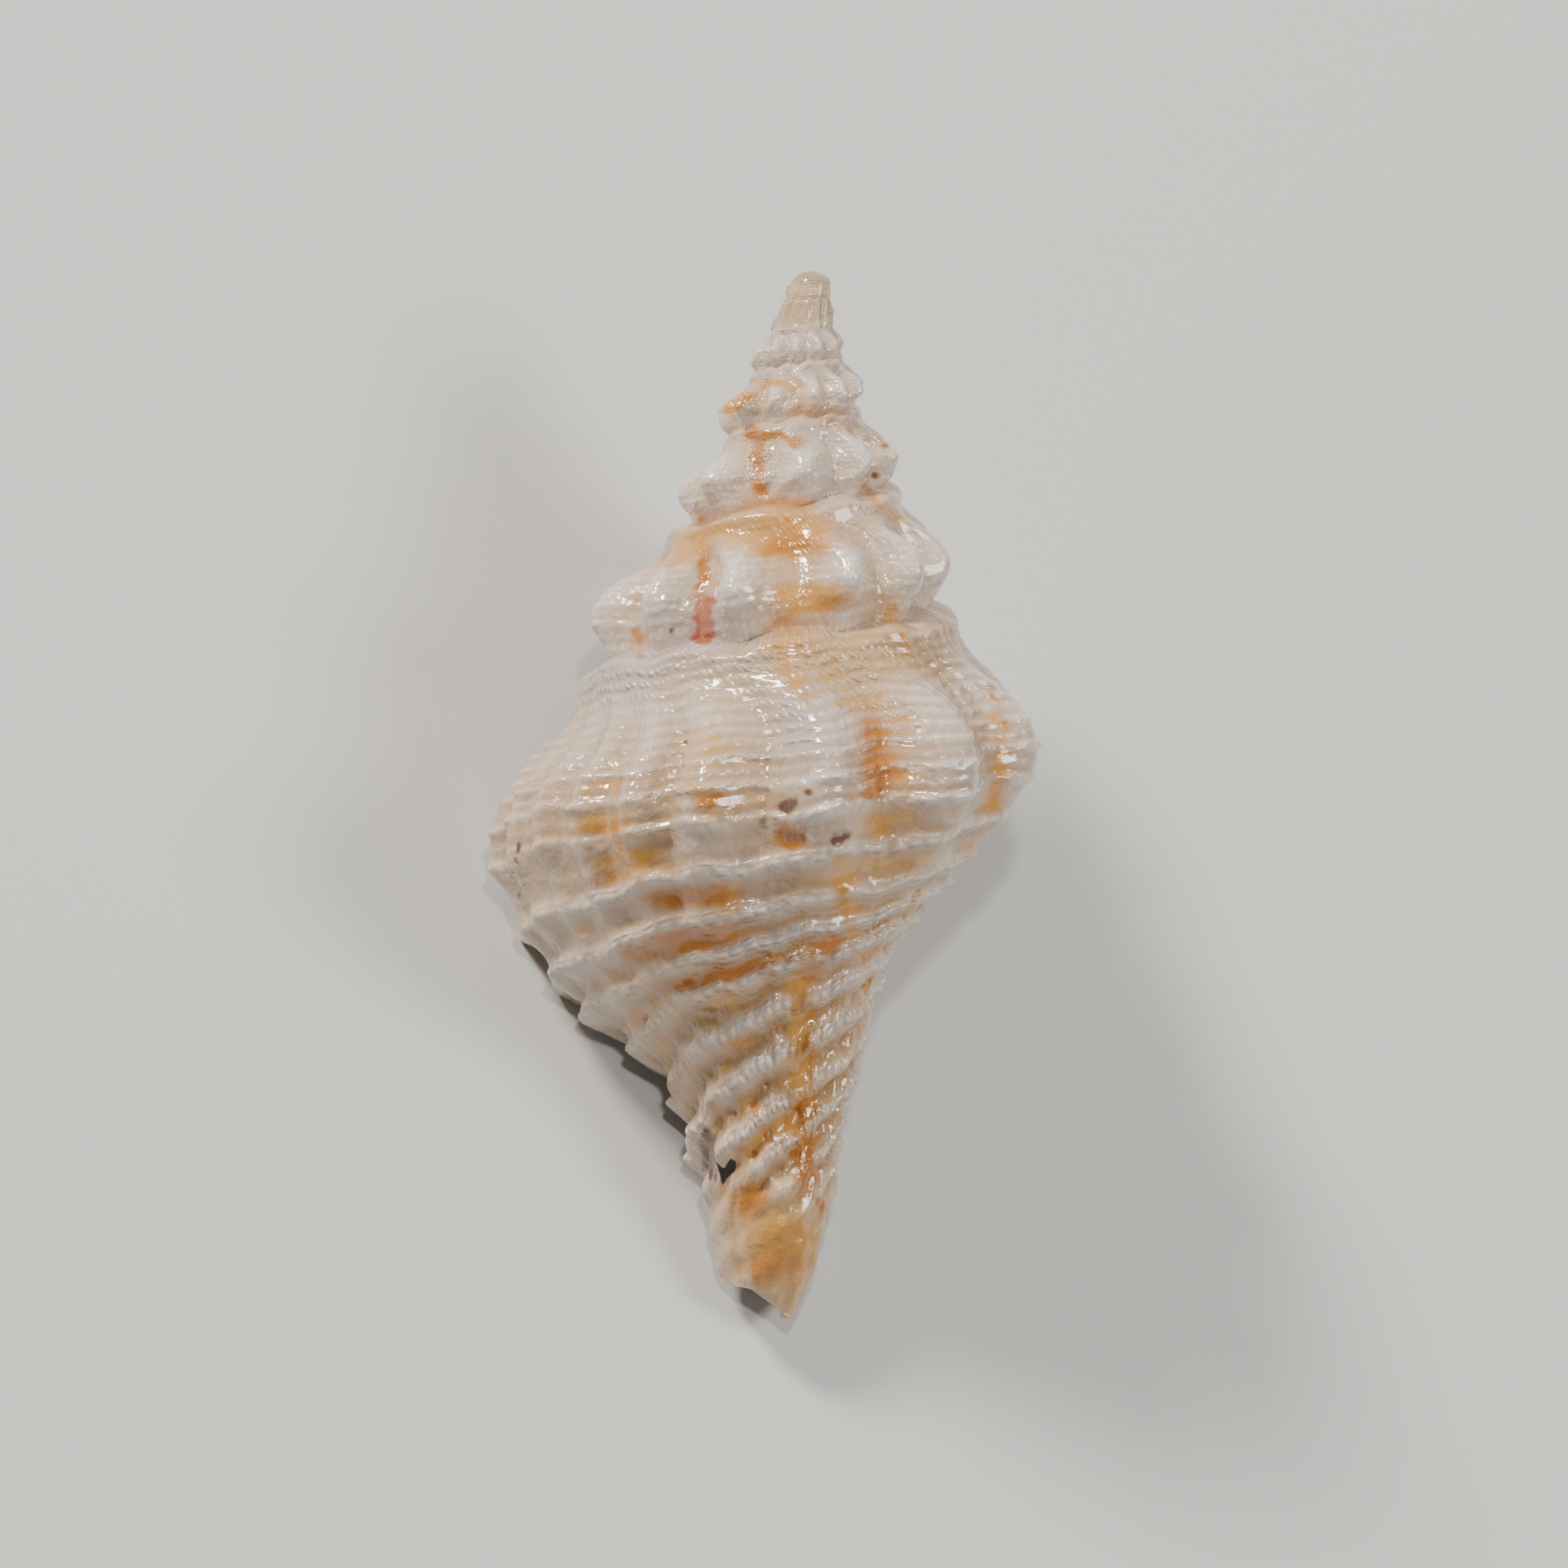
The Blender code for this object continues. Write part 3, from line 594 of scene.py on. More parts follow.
RUST_STAINS = (
    (910, 497, 12, 9, 25, 0.6), (930, 536, 12, 8, 0, 0.95), (960, 539, 32, 6, -14, 0.9),
    (983, 549, 9, 6, -20, 0.8), (934, 560, 8, 20, -5, 0.95), (935, 580, 6, 8, 0, 0.7),
    (936, 603, 9, 12, 0, 0.9),
    (865, 641, 12, 11, 0, 0.95), (869, 692, 9, 15, 0, 0.95), (866, 718, 9, 13, 0, 1.0),
    (972, 675, 34, 11, 8, 0.9), (1074, 613, 6, 12, 35, 0.6), (968, 766, 22, 6, 28, 0.6),
    (1076, 905, 20, 21, 0, 0.75), (1080, 947, 22, 20, 0, 0.95), (1073, 975, 11, 10, 0, 0.9),
    (882, 986, 26, 10, -2, 0.85), (852, 1103, 56, 12, 3, 0.85), (842, 1158, 64, 15, 12, 1.0),
    (795, 1170, 30, 6, 16, 0.7), (900, 1197, 72, 10, 13, 0.9), (1020, 1163, 18, 20, 15, 0.85),
    (1000, 1190, 14, 18, 0, 0.7), (994, 1240, 13, 8, 0, 0.95), (990, 1290, 16, 12, 0, 0.7),
    (993, 1365, 13, 14, 0, 0.95), (990, 1410, 16, 18, 0, 0.85), (994, 1445, 14, 20, -10, 0.85),
    (1012, 1485, 8, 22, 28, 0.75), (925, 1475, 23, 19, 0, 0.8), (955, 1550, 30, 28, 0, 0.7),
    (930, 1566, 14, 12, 0, 0.6), (740, 1024, 8, 8, 0, 0.4), (787, 781, 6, 13, -10, 1.0),
    (791, 807, 5, 4, 0, 1.0), (974, 1029, 19, 15, 0, 0.95),
)
BRICK_STAINS = (
    (868, 747, 12, 13, 0, 1.0), (868, 767, 10, 11, 0, 1.0), (868, 784, 14, 10, 0, 1.0),
    (866, 716, 6, 8, 0, 0.4), (1066, 520, 12, 8, -42, 0.5), (1080, 952, 12, 8, 0, 0.4),
)
# Broad thin washes of ochre
WASH_STAINS = (
    (925, 660, 115, 36, 0, 0.95), (985, 742, 75, 30, 0, 0.75), (1060, 815, 120, 60, -25, 0.5),
    (975, 700, 34, 40, 0, 0.6), (1085, 720, 16, 40, 0, 0.5), (1000, 800, 60, 40, -20, 0.4),
    (955, 1560, 60, 60, 0, 0.8), (985, 1610, 24, 24, 0, 0.6), (920, 1480, 34, 40, 0, 0.6),
    (830, 1235, 70, 45, -30, 0.6), (1000, 1330, 50, 60, 0, 0.4), (870, 1215, 70, 30, 12, 0.5),
    (1150, 1020, 60, 30, 10, 0.5), (1110, 960, 40, 40, 0, 0.35), (770, 700, 20, 40, 0, 0.3),
    (1140, 800, 50, 60, 30, 0.5), (985, 1250, 40, 110, 5, 0.55), (960, 1520, 55, 65, 0, 0.75),
    (860, 1160, 110, 60, 10, 0.45), (870, 1330, 50, 70, 0, 0.4), (1040, 1090, 60, 60, 0, 0.35),
    (1085, 930, 50, 60, 0, 0.35), (870, 950, 60, 60, 0, 0.3), (755, 1030, 60, 45, 0, 0.3),
    (1225, 930, 14, 100, -5, 0.35), (1150, 1080, 70, 30, 35, 0.4), (1055, 1270, 25, 120, -15, 0.4),
    (995, 1420, 45, 90, 0, 0.4), (940, 540, 60, 30, 0, 0.25), (1085, 560, 30, 60, 30, 0.3),
    (820, 1290, 30, 60, -30, 0.4), (1000, 465, 60, 20, 0, 0.15), (790, 760, 14, 50, 0, 0.2),
    (930, 1390, 60, 50, 0, 0.35), (920, 1240, 60, 30, 15, 0.3),
)
# Thin places where the lime looks lilac grey
LILAC_STAINS = (
    (985, 905, 50, 50, 30, 0.75), (905, 800, 60, 50, 0, 0.3), (690, 1215, 60, 70, -40, 0.5),
    (790, 1140, 60, 40, 10, 0.2), (940, 1150, 60, 40, 10, 0.5), (900, 1290, 60, 60, 0, 0.25),
    (1190, 940, 40, 80, 10, 0.3), (862, 1500, 14, 90, 0, 0.6),
)
BROWN_STAINS = (
    (971, 992, 13, 9, 35, 1.0), (996, 976, 7, 5, 0, 0.8), (974, 1028, 18, 15, 0, 0.48),
    (990, 1028, 4, 11, 0, 0.5), (1030, 1035, 8, 7, 0, 1.0), (1042, 1028, 8, 5, 20, 0.8),
    (1084, 975, 5, 5, 0, 0.5), (829, 777, 3, 7, 0, 0.8), (803, 978, 5, 42, -6, 0.3),
    (814, 1015, 5, 20, -20, 0.3), (636, 1060, 2.5, 30, -14, 0.8), (642, 1098, 2.5, 16, -25, 0.7),
    (1078, 586, 7, 5, 0, 0.7), (1092, 564, 8, 5, 0, 0.4), (1090, 550, 9, 5, 0, 0.5),
    (866, 1400, 3, 14, -18, 1.0), (873, 1420, 3, 16, -18, 1.0), (877, 1440, 3, 16, -10, 1.0),
    (871, 1408, 3, 22, -14, 1.0), (876, 1428, 2.5, 14, -14, 1.0),
    (879, 1405, 2, 12, -12, 0.8), (868, 1436, 2, 14, -12, 0.7), (882, 1448, 2, 10, -8, 0.8),
    (858, 622, 4, 8, -20, 0.5), (686, 922, 4, 5, 0, 0.4), (1000, 925, 3, 26, -10, 0.25),
)
STAINS = {
    "wash": WASH_STAINS, "ochre": OCHRE_STAINS, "rust": RUST_STAINS, "brick": BRICK_STAINS,
    "brown": BROWN_STAINS, "lilac": LILAC_STAINS,
}
STAIN_SOFTNESS = 0.9
STAIN_BLUNTNESS = 1.15
# Waves that make a stain's outline ragged, in pixels
RAGGED_ACROSS = ((3.0, 0.21, 0.05, 0.0), (1.5, 0.47, 0.0, 1.0))
RAGGED_DOWN = ((2.0, 0.17, 0.0, 2.0), (1.0, 0.39, -0.1, 0.0))
# Where the seen side begins, as cosines of the angle from the middle of the back, and where its rim,
# which gets a painted warm glow of light, begins, as what the cosine leaves of 1
SEEN_SIDE = (-0.05, 0.12)
RIM_SIDE = (0.6, 1.0)
WORN_HEIGHTS = (2.15, 2.5)
# Spots scattered over the far side
FAR_SPOTS = 90
FAR_SEED = 7
FAR_LINES = (180, 1500)
FAR_LEVELS = (15, 30)
FAR_WIDTHS = (3, 14)
FAR_HEIGHTS = (0.3, 1.4)
FAR_STRENGTHS = (0.3, 0.9)
FAR_SOFTNESS = 0.8
FAR_BLUNTNESS = 1.5
FAR_RUST_FROM = 0.65
FAR_WASH = 0.4
FAR_WASH_WAVE = (0.5, 0.045, 0.8, 0.0)


def stain_share(stains, across, down):
    """How strongly the stains colour each place of the view from above."""
    clear = np.ones_like(across)
    for at_across, at_down, length, width, turn, strength in stains:
        c = math.cos(math.radians(turn))
        s = math.sin(math.radians(turn))
        along = ((across - at_across) * c - (down - at_down) * s) / length
        beside = ((across - at_across) * s + (down - at_down) * c) / width
        clear *= 1 - strength * np.exp(-STAIN_SOFTNESS * (along ** 2 + beside ** 2) ** STAIN_BLUNTNESS)
    return 1 - clear


def add_stains(places, angle, points):
    """The stains of the side that the photograph shows, and scattered ones on the far side."""
    towards = np.cos(np.radians(LIP_SIDE_ANGLE - angle))
    seen = ease(towards, *SEEN_SIDE)
    far = 1 - seen
    x, height = points[:, 0], -points[:, 1]
    across = POINT_ACROSS + (x - AXIS_TILT * height) / PIXEL
    down = POINT_DOWN + (height + AXIS_TILT * x) / PIXEL
    ragged = (across + waves(down, across, *RAGGED_ACROSS), down + waves(across, down, *RAGGED_DOWN))
    for name, stains in STAINS.items():
        outline = (across, down) if name == "brown" else ragged
        places[name] = stain_share(stains, *outline) * seen

    level = height / turn_size(angle)
    line = growth_line(angle, level, height)
    scatter = np.random.default_rng(FAR_SEED)
    ochre = np.zeros_like(far)
    rust = np.zeros_like(far)
    for _ in range(FAR_SPOTS):
        at_line, at_level = scatter.uniform(*FAR_LINES), scatter.uniform(*FAR_LEVELS)
        wide, tall = scatter.uniform(*FAR_WIDTHS), scatter.uniform(*FAR_HEIGHTS)
        strength = scatter.uniform(*FAR_STRENGTHS)
        spread = ((line - at_line) / wide) ** 2 + ((level - at_level) / tall) ** 2
        spot = strength * np.exp(-FAR_SOFTNESS * spread ** FAR_BLUNTNESS)
        ochre = np.maximum(ochre, spot)
        if strength > FAR_RUST_FROM:
            rust = np.maximum(rust, spot)
    places["ochre"] += ochre * far
    places["wash"] += FAR_WASH * (0.5 + waves(line, level, FAR_WASH_WAVE)) * far
    places["rust"] += rust * far
    places["apex"] = 1 - ease(height, *WORN_HEIGHTS)
    # Painted rim light: a warm glow on the sides that turn away from the camera
    places["rim_glow"] = ease(1 - abs(towards), *RIM_SIDE)


def turn_sheet(turn, shares):
    """One turn of the outer sheet. Shares to 1 lead to the suture below, 1 to 2 to the canal's end."""
    oldest = turn == TURNS - 1
    columns = turn_columns if turn == 0 else turn_columns[1:]
    mesh, column, row = flat_sheet(len(columns) - 1, len(shares) - 1)
    angle, share = columns[column] + 360.0 * turn, shares[row]
    size = turn_size(angle)
    if oldest:
        top_height = np.full_like(angle, APEX_RING_HEIGHT)
        top_radius = np.full_like(angle, APEX_RING_RADIUS)
    else:
        top_height, top_radius = lower_edge(angle + 360.0)
    full_height = next_suture(angle) * size
    opening = first_strip_share(angle) if oldest else 1.0
    bottom = APEX_RING_HEIGHT + (full_height - APEX_RING_HEIGHT) * opening
    height = top_height + (bottom - top_height) * np.minimum(share, 1.0)
    if turn == 0:
        height = height + (canal_end(angle) - full_height) * np.maximum(share - 1.0, 0.0)

    radius, line, places = outside(angle, height)
    if oldest:
        foot_radius = lower_edge(angle)[1]
        radius = top_radius + (foot_radius - top_radius) * share
        radius = radius + apex_relief(angle, height) * np.sin(np.pi * share) ** 0.5
        places["groove"] = np.zeros_like(angle)
    else:
        shelf = np.clip((height - top_height) / (SHELF_LEVELS * size), 0.0, 1.0)
        radius = top_radius + (radius - top_radius) * (1 - (1 - shelf) ** SHELF_ROUNDNESS)
    points = around_axis(angle, height, radius)
    add_stains(places, angle, points)
    marks = seam_marks(column, len(columns) - 1)
    seam = np.where(marks > 0, marks + 10 * (turn + 1), 0)
    sheet = finish_sheet(mesh, points, line, height / size, places, seam)
    return sheet, (height, radius, column, row)


foot_size = turn_size(360.0)
roof_share = MOUTH_ROOF_DROP / (canal_end(360.0) / foot_size - next_suture(360.0))
last_turn_shares = np.concatenate([
    np.linspace(0.0, SLOPE_SHARE, SLOPE_ROWS, endpoint=False),
    np.linspace(SLOPE_SHARE, 1.0, SHOULDER_ROWS, endpoint=False),
    [1.0],
    1.0 + np.linspace(roof_share, 1.0, LAST_TURN_FOOT_ROWS),
])
last_turn, last_turn_grid = turn_sheet(0, last_turn_shares)
sheets = [last_turn]
for turn, rows in enumerate(SPIRE_ROWS, start=1):
    sheets.append(turn_sheet(turn, np.linspace(0.0, 1.0, rows + 1))[0])

dome, dome_column, dome_row = flat_sheet(len(turn_columns) - 1, DOME_ROWS)
dome_angle = turn_columns[dome_column] + 360.0 * (TURNS - 1)
dome_arc = np.radians(90.0 * dome_row / DOME_ROWS)
dome_height = APEX_DOME_HEIGHT + (APEX_RING_HEIGHT - APEX_DOME_HEIGHT) * (1 - np.cos(dome_arc))
dome_points = around_axis(dome_angle, dome_height, APEX_RING_RADIUS * np.sin(dome_arc))
sheets.append(finish_sheet(
    dome, dome_points, dome_angle, dome_height / turn_size(dome_angle), {"apex": 1.0}, dome_row * 0,
))

# Shell: mouth, lip and canal.
# Behind the thin lip the last turn is hollow. Its inside is smooth as china, and the turn before
# runs on into it as a floor, down into the canal that stays open as a slit along the stem.
WALL = 0.42
LIP_WALL_SHARE = 0.5
LIP_THINNING_ANGLE = 14.0
THIN_WALL_SHARE = 0.3
VALLEY_WALL_SHARE = 0.6
MOUTH_DEPTH = 192.0
MOUTH_COLUMNS = 34
LIP_ROUND_COLUMNS = 4
LIP_ROUNDING = 0.16
MOUTH_COLUMN_CROWDING = 1.4
# Degrees over which the outside's colours turn to china on the floor and behind the lip
FLOOR_CHINA_ANGLE = 8.0
LIP_CHINA_ANGLE = 6.0
LIP_CHINA = 0.5
# Marks of the two sheets' ends deep inside
DEEP_FLOOR = 91
DEEP_WALL = 92

mouth_columns = MOUTH_DEPTH * (np.arange(MOUTH_COLUMNS + 1) / MOUTH_COLUMNS) ** MOUTH_COLUMN_CROWDING
floor_shares = (last_turn_shares[last_turn_shares > 1.0] - 1.0 - roof_share) / (1.0 - roof_share)


def floor_point(angle, share):
    """Height and radius of the mouth's floor, from its roof down to the canal's end."""
    roof = (next_suture(angle) + MOUTH_ROOF_DROP) * turn_size(angle)
    height = roof + (canal_end(angle) - roof) * share
    return height, plain_radius(angle, height)


def wall_at(angle, radius):
    """Thickness of the shell's wall, thinner at the lip and on the narrow canal."""
    lip = LIP_WALL_SHARE + (1 - LIP_WALL_SHARE) * ease(angle, 0.0, LIP_THINNING_ANGLE)
    return np.minimum(WALL, THIN_WALL_SHARE * radius) * lip


floor, floor_column, floor_row = flat_sheet(MOUTH_COLUMNS, len(floor_shares) - 1)
floor_angle = 360.0 + mouth_columns[floor_column]
floor_height, floor_radius = floor_point(floor_angle, floor_shares[floor_row])
floor_points = around_axis(floor_angle, floor_height, floor_radius)
sheets.append(finish_sheet(
    floor, floor_points, floor_angle, floor_height / turn_size(floor_angle),
    {"inside": ease(floor_angle, 360.0, 360.0 + FLOOR_CHINA_ANGLE)},
    np.where(floor_column == MOUTH_COLUMNS, DEEP_FLOOR, 0),
))

grid_height, grid_radius, grid_column, grid_row = last_turn_grid
lip_edge = grid_column == 0
order = np.argsort(grid_row[lip_edge])
lip_height = grid_height[lip_edge][order]
lip_radius = grid_radius[lip_edge][order]
inner_shares = (lip_height[1:] - lip_height[1]) / (lip_height[-1] - lip_height[1])


def inner_point(angle, share):
    """Height and radius of the inside of the last turn."""
    roof, roof_radius = floor_point(angle + 360.0, 0.0)
    height = roof + (canal_end(angle) - roof) * share
    smooth = plain_radius(angle, height)
    follow = 1 - ease(angle, 0.0, LIP_THINNING_ANGLE)
    # The outside dips between its ribs, and the inside stays under it
    finished = outside(angle, height)[0]
    radius = smooth + (finished - smooth) * follow
    wall = wall_at(angle, radius)
    radius = np.minimum(radius - wall, finished - wall * VALLEY_WALL_SHARE)
    return height, np.where(share == 0.0, roof_radius, radius)


inner, inner_column, inner_row = flat_sheet(MOUTH_COLUMNS, len(inner_shares) - 1)
inner_angle = mouth_columns[inner_column]
inner_height, inner_radius = inner_point(inner_angle, inner_shares[inner_row])
inner_points = around_axis(inner_angle, inner_height, inner_radius)
sheets.append(finish_sheet(
    inner, inner_points, inner_angle, inner_height / turn_size(inner_angle),
    {"inside": ease(inner_angle, 0.0, LIP_CHINA_ANGLE)},
    np.where(inner_column == MOUTH_COLUMNS, DEEP_WALL, 0),
))

lip, lip_column, lip_row = flat_sheet(LIP_ROUND_COLUMNS, len(lip_height) - 1)
edge_height, edge_radius = inner_point(np.zeros_like(inner_shares), inner_shares)
edge_height = np.concatenate([lip_height[:1], edge_height])
edge_radius = np.concatenate([lip_radius[:1], edge_radius])
lip_share = lip_column / LIP_ROUND_COLUMNS
lip_across = 0.5 - 0.5 * np.cos(np.pi * lip_share)
strip_height = lip_height[lip_row] * (1 - lip_across) + edge_height[lip_row] * lip_across
strip_radius = lip_radius[lip_row] * (1 - lip_across) + edge_radius[lip_row] * lip_across
bulge = LIP_ROUNDING * np.sin(np.pi * lip_share) * (lip_row > 0)
strip_angle = -np.degrees(bulge / np.maximum(strip_radius, 1.0))
lip_points = around_axis(strip_angle, strip_height, strip_radius)
# The lip's strip takes the painted warm rim glow in full
sheets.append(finish_sheet(
    lip, lip_points, strip_angle, strip_height, {"inside": lip_share * LIP_CHINA, "rim_glow": 1.0},
    lip_row * 0,
))

# Shell: sewing.
# The sheets meet exactly, so merging their doubles closes the sutures, the lip and the dome. Where
# two turns with different numbers of rows meet, a bridge joins them.
DOUBLES = 1e-6
SHARP_ANGLE = 55.0
FOOT_MARGIN = 0.001
DOWN_THE_AXIS = LYING @ Vector((0, -1, 0))
bm = bmesh.new()
for sheet in sheets:
    bm.from_mesh(sheet)
    bpy.data.meshes.remove(sheet)
seam_layer = bm.verts.layers.int["seam"]


def seam_edges(mark):
    """The edges along a marked column of a sheet."""
    return [e for e in bm.edges if e.verts[0][seam_layer] == mark and e.verts[1][seam_layer] == mark]


def height_on_shell(vert):
    """A vertex's height down the axis, in millimetres."""
    return (vert.co / MM - RESTING_PLACE).dot(DOWN_THE_AXIS)


for turn in range(1, TURNS):
    end_of_last = seam_edges(10 * turn + 2)
    if turn == 1:
        foot = next_suture(360.0) * foot_size + FOOT_MARGIN
        end_of_last = [e for e in end_of_last if all(height_on_shell(v) < foot for v in e.verts)]
    bmesh.ops.bridge_loops(bm, edges=end_of_last + seam_edges(10 * (turn + 1) + 1))

bmesh.ops.remove_doubles(bm, verts=bm.verts, dist=DOUBLES)
bmesh.ops.dissolve_degenerate(bm, edges=bm.edges, dist=DOUBLES / 2)

# The mouth ends deep inside in a wall from floor to roof, and the canal in a rough broken edge
deep_edges = [e for e in bm.edges if e.is_boundary and all(v[seam_layer] >= DEEP_FLOOR for v in e.verts)]
deep_verts = {v for e in deep_edges for v in e.verts}
deep_feet = [v for v in deep_verts if any(e.is_boundary and e not in deep_edges for e in v.link_edges)]
deep_edges.append(bm.edges.new(deep_feet))
deep_wall = bmesh.ops.contextual_create(bm, geom=deep_edges)["faces"]
bmesh.ops.triangulate(bm, faces=deep_wall)
broken_edge = [e for e in bm.edges if e.is_boundary]
bmesh.ops.triangle_fill(bm, edges=broken_edge, use_beauty=True, normal=DOWN_THE_AXIS)
bmesh.ops.recalc_face_normals(bm, faces=bm.faces)
mesh = bpy.data.meshes.new("shell")
bm.to_mesh(mesh)
bm.free()
shell = bpy.data.objects.new("shell_surface", mesh)
bpy.context.scene.collection.objects.link(shell)

# A chip broken out of the canal's wall: its middle, how deep it goes, and its outline across and up
CHIP_ACROSS = -1.65
CHIP_HEIGHT = 31.38
CHIP_RADIUS = 2.18
CHIP_DEPTH = 0.62
CHIP_TOP = 3.4
CHIP_OUTLINE = (
    (-0.33, 0.22), (-0.20, 0.10), (-0.10, 0.02), (-0.02, 0.03), (0.06, 0.20), (0.15, 0.34),
    (0.24, 0.30), (0.33, 0.26), (0.36, 0.05), (0.31, -0.10), (0.18, -0.22), (0.06, -0.34),
    (-0.05, -0.56), (-0.13, -0.50), (-0.18, -0.25), (-0.27, 0.02),
)
plug_bm = bmesh.new()
plug_rings = []
for top in (True, False):
    ring = []
    for sideways, upward in CHIP_OUTLINE:
        x = CHIP_ACROSS + sideways
        z = CHIP_TOP if top else math.sqrt(CHIP_RADIUS ** 2 - x * x) - CHIP_DEPTH
        point = Vector((x, upward - CHIP_HEIGHT, z))
        ring.append(plug_bm.verts.new((LYING @ point + RESTING_PLACE) * MM))
    plug_rings.append(plug_bm.faces.new(ring))
bmesh.ops.bridge_loops(plug_bm, edges=[e for face in plug_rings for e in face.edges])
bmesh.ops.triangulate(plug_bm, faces=plug_bm.faces)
bmesh.ops.recalc_face_normals(plug_bm, faces=plug_bm.faces)
plug_mesh = bpy.data.meshes.new("chip")
plug_bm.to_mesh(plug_mesh)
plug_bm.free()
plug = bpy.data.objects.new("chip", plug_mesh)
bpy.context.scene.collection.objects.link(plug)
cut = shell.modifiers.new("chip", "BOOLEAN")
cut.operation = "DIFFERENCE"
cut.solver = "EXACT"
cut.object = plug
shell.data = bpy.data.meshes.new_from_object(shell.evaluated_get(bpy.context.evaluated_depsgraph_get()))
shell.modifiers.clear()
bpy.data.objects.remove(plug, do_unlink=True)
bpy.data.meshes.remove(plug_mesh)
bpy.data.meshes.remove(mesh)
mesh = shell.data
mesh.name = "shell"
# Inside the chip it is painted near black, as shade
CHIP_REACH = 0.75
CHIP_SHADE_DEPTHS = (0.16, 0.3)
vertex_places = np.zeros(len(mesh.vertices) * 3)
mesh.vertices.foreach_get("co", vertex_places)
standing = (vertex_places.reshape(-1, 3) / MM - np.array(RESTING_PLACE)) @ np.array(LYING)
near_chip = np.hypot(standing[:, 0] - CHIP_ACROSS, standing[:, 1] + CHIP_HEIGHT) < CHIP_REACH
depth = CHIP_RADIUS - np.hypot(standing[:, 0], standing[:, 2])
chip_shade = near_chip * ease(depth, *CHIP_SHADE_DEPTHS)
mesh.attributes["chip_shade"].data.foreach_set("value", chip_shade.astype(np.float32))
mesh.shade_smooth()
mesh.set_sharp_from_angle(angle=math.radians(SHARP_ANGLE))
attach(shell, "root")
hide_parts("shell")

# Shell: its finish.
# The outer layer is pale and glassy, washed cream and lavender, with ochre and rust stains that gather
# in the grooves. The oldest turns are worn to tan, and the mouth is white as china. The grooves and the
# chip also get painted shade, and the rim gets a painted warm glow.
LAVENDER = (0.58, 0.495, 0.46, 1.0)
LILAC = (0.44, 0.375, 0.375, 1.0)
CREAM = (0.64, 0.49, 0.34, 1.0)
CHALK = (0.77, 0.695, 0.635, 1.0)
# Partly the grooves' own tan and partly painted shade in them
GROOVE_TAN_AND_SHADE = (0.37, 0.21, 0.09, 1.0)
WASH = (0.62, 0.37, 0.14, 1.0)
OCHRE = (0.56, 0.265, 0.055, 1.0)
RUST = (0.44, 0.165, 0.028, 1.0)
BRICK = (0.40, 0.12, 0.06, 1.0)
# Painted shade, near black, for the inside of the chip
PAINTED_CHIP_SHADE = (0.012, 0.006, 0.005, 1.0)
BROWN = (0.15, 0.078, 0.048, 1.0)
VALLEY_TAN = (0.55, 0.395, 0.25, 1.0)
WORN_TAN = (0.55, 0.39, 0.22, 1.0)
# Painted light: a warm glow on the rim, where the sides turn away from the camera
PAINTED_RIM_GLOW = (0.66, 0.49, 0.32, 1.0)
CHINA = (0.74, 0.64, 0.57, 1.0)
COAT_ROUGHNESS = 0.07
REFRACTION = 1.5
# Patterns: how many of each fit in a metre, or how the growth map is stretched for them
CLOUDS = 260.0
GLOSS_SPOTS = 900.0
PIMPLES = 2600.0
DIMPLES = 1100.0
BEAD_UNEVENNESS = 420.0
STREAKS = (2.4, 0.6)
HAIR_LINES = (9.0, 0.5)
RAGGED_EDGE = (1.6, 1.4)
BODY_BEADS = (3.85, 1.0)
BASE_BEADS = (2.3, 2.0)
BEAD_RADIUS = 0.62
# Where a stain is broken up: spots in a metre, the amount where it starts and where it is full
OCHRE_EDGE = (500.0, 0.0, 0.74)
RUST_EDGE = (700.0, 0.0, 0.68)
BRICK_EDGE = (1900.0, 0.1, 0.6)
BROWN_EDGE = (2500.0, 0.15, 0.65)
# How a pattern is used: the range that counts, then the least and the most that it gives
CREAM_CLOUDS = (0.38, 0.62)
CREAM_STREAKS = (0.5, 0.75, 0.0, 0.3)
WASH_STREAKS = (0.25, 0.7, 0.6, 1.0)
VALLEY_CLOUDS = (0.0, 1.0, 0.5, 0.8)
GROOVE_STREAKS = (0.3, 0.7, 0.68, 0.9)
CHALKY_BEADS = (0.0, 1.0, 0.45, 1.0)
BASE_BEAD_PLACES = (0.0, 0.3)
GLOSS = (0.3, 0.75, 0.10, 0.32)
UNEVEN_BEADS = (0.35, 0.65, 0.35, 1.0)
BEADS_ON_CORDS = (0.55, 0.1, 0.08, 1.0)
CHINA_RELIEF = (0.0, 1.0, 1.0, 0.15)
# Strengths
RIM_GLOW_SHARE = 0.35
GROOVE_WASH = 0.5
BEAD_GAP_TAN_AND_SHADE = 0.3
BEAD_CHALK = 0.7
STAIN_POOLING = 0.5
STAIN_OUTSIDE_GROOVES = 0.75
WORN_SHARE = 0.95
CHIP_SHADE_ROUGHNESS = 0.6
GLAZE = 0.8
BASE_BEAD_STRENGTH = 1.5
SPIRE_BEAD_LOSS = 0.65
HAIR_LINE_RELIEF = 0.03
DIMPLE_RELIEF = 1.8
RELIEF_DEPTH = 0.00007
glaze = bpy.data.materials.new("shell lime")
glaze.use_nodes = True
tree = glaze.node_tree
shader = tree.nodes["Principled BSDF"]
shader.inputs["Coat Roughness"].default_value = COAT_ROUGHNESS
shader.inputs["IOR"].default_value = REFRACTION
place_on_shell = tree.nodes.new("ShaderNodeTexCoord").outputs["Object"]
growth_map = tree.nodes.new("ShaderNodeUVMap")
growth_map.uv_map = "growth"


def trait(name):
    """A value that the mesh carries for each place."""
    node = tree.nodes.new("ShaderNodeAttribute")
    node.attribute_name = name
    return node.outputs["Fac"]


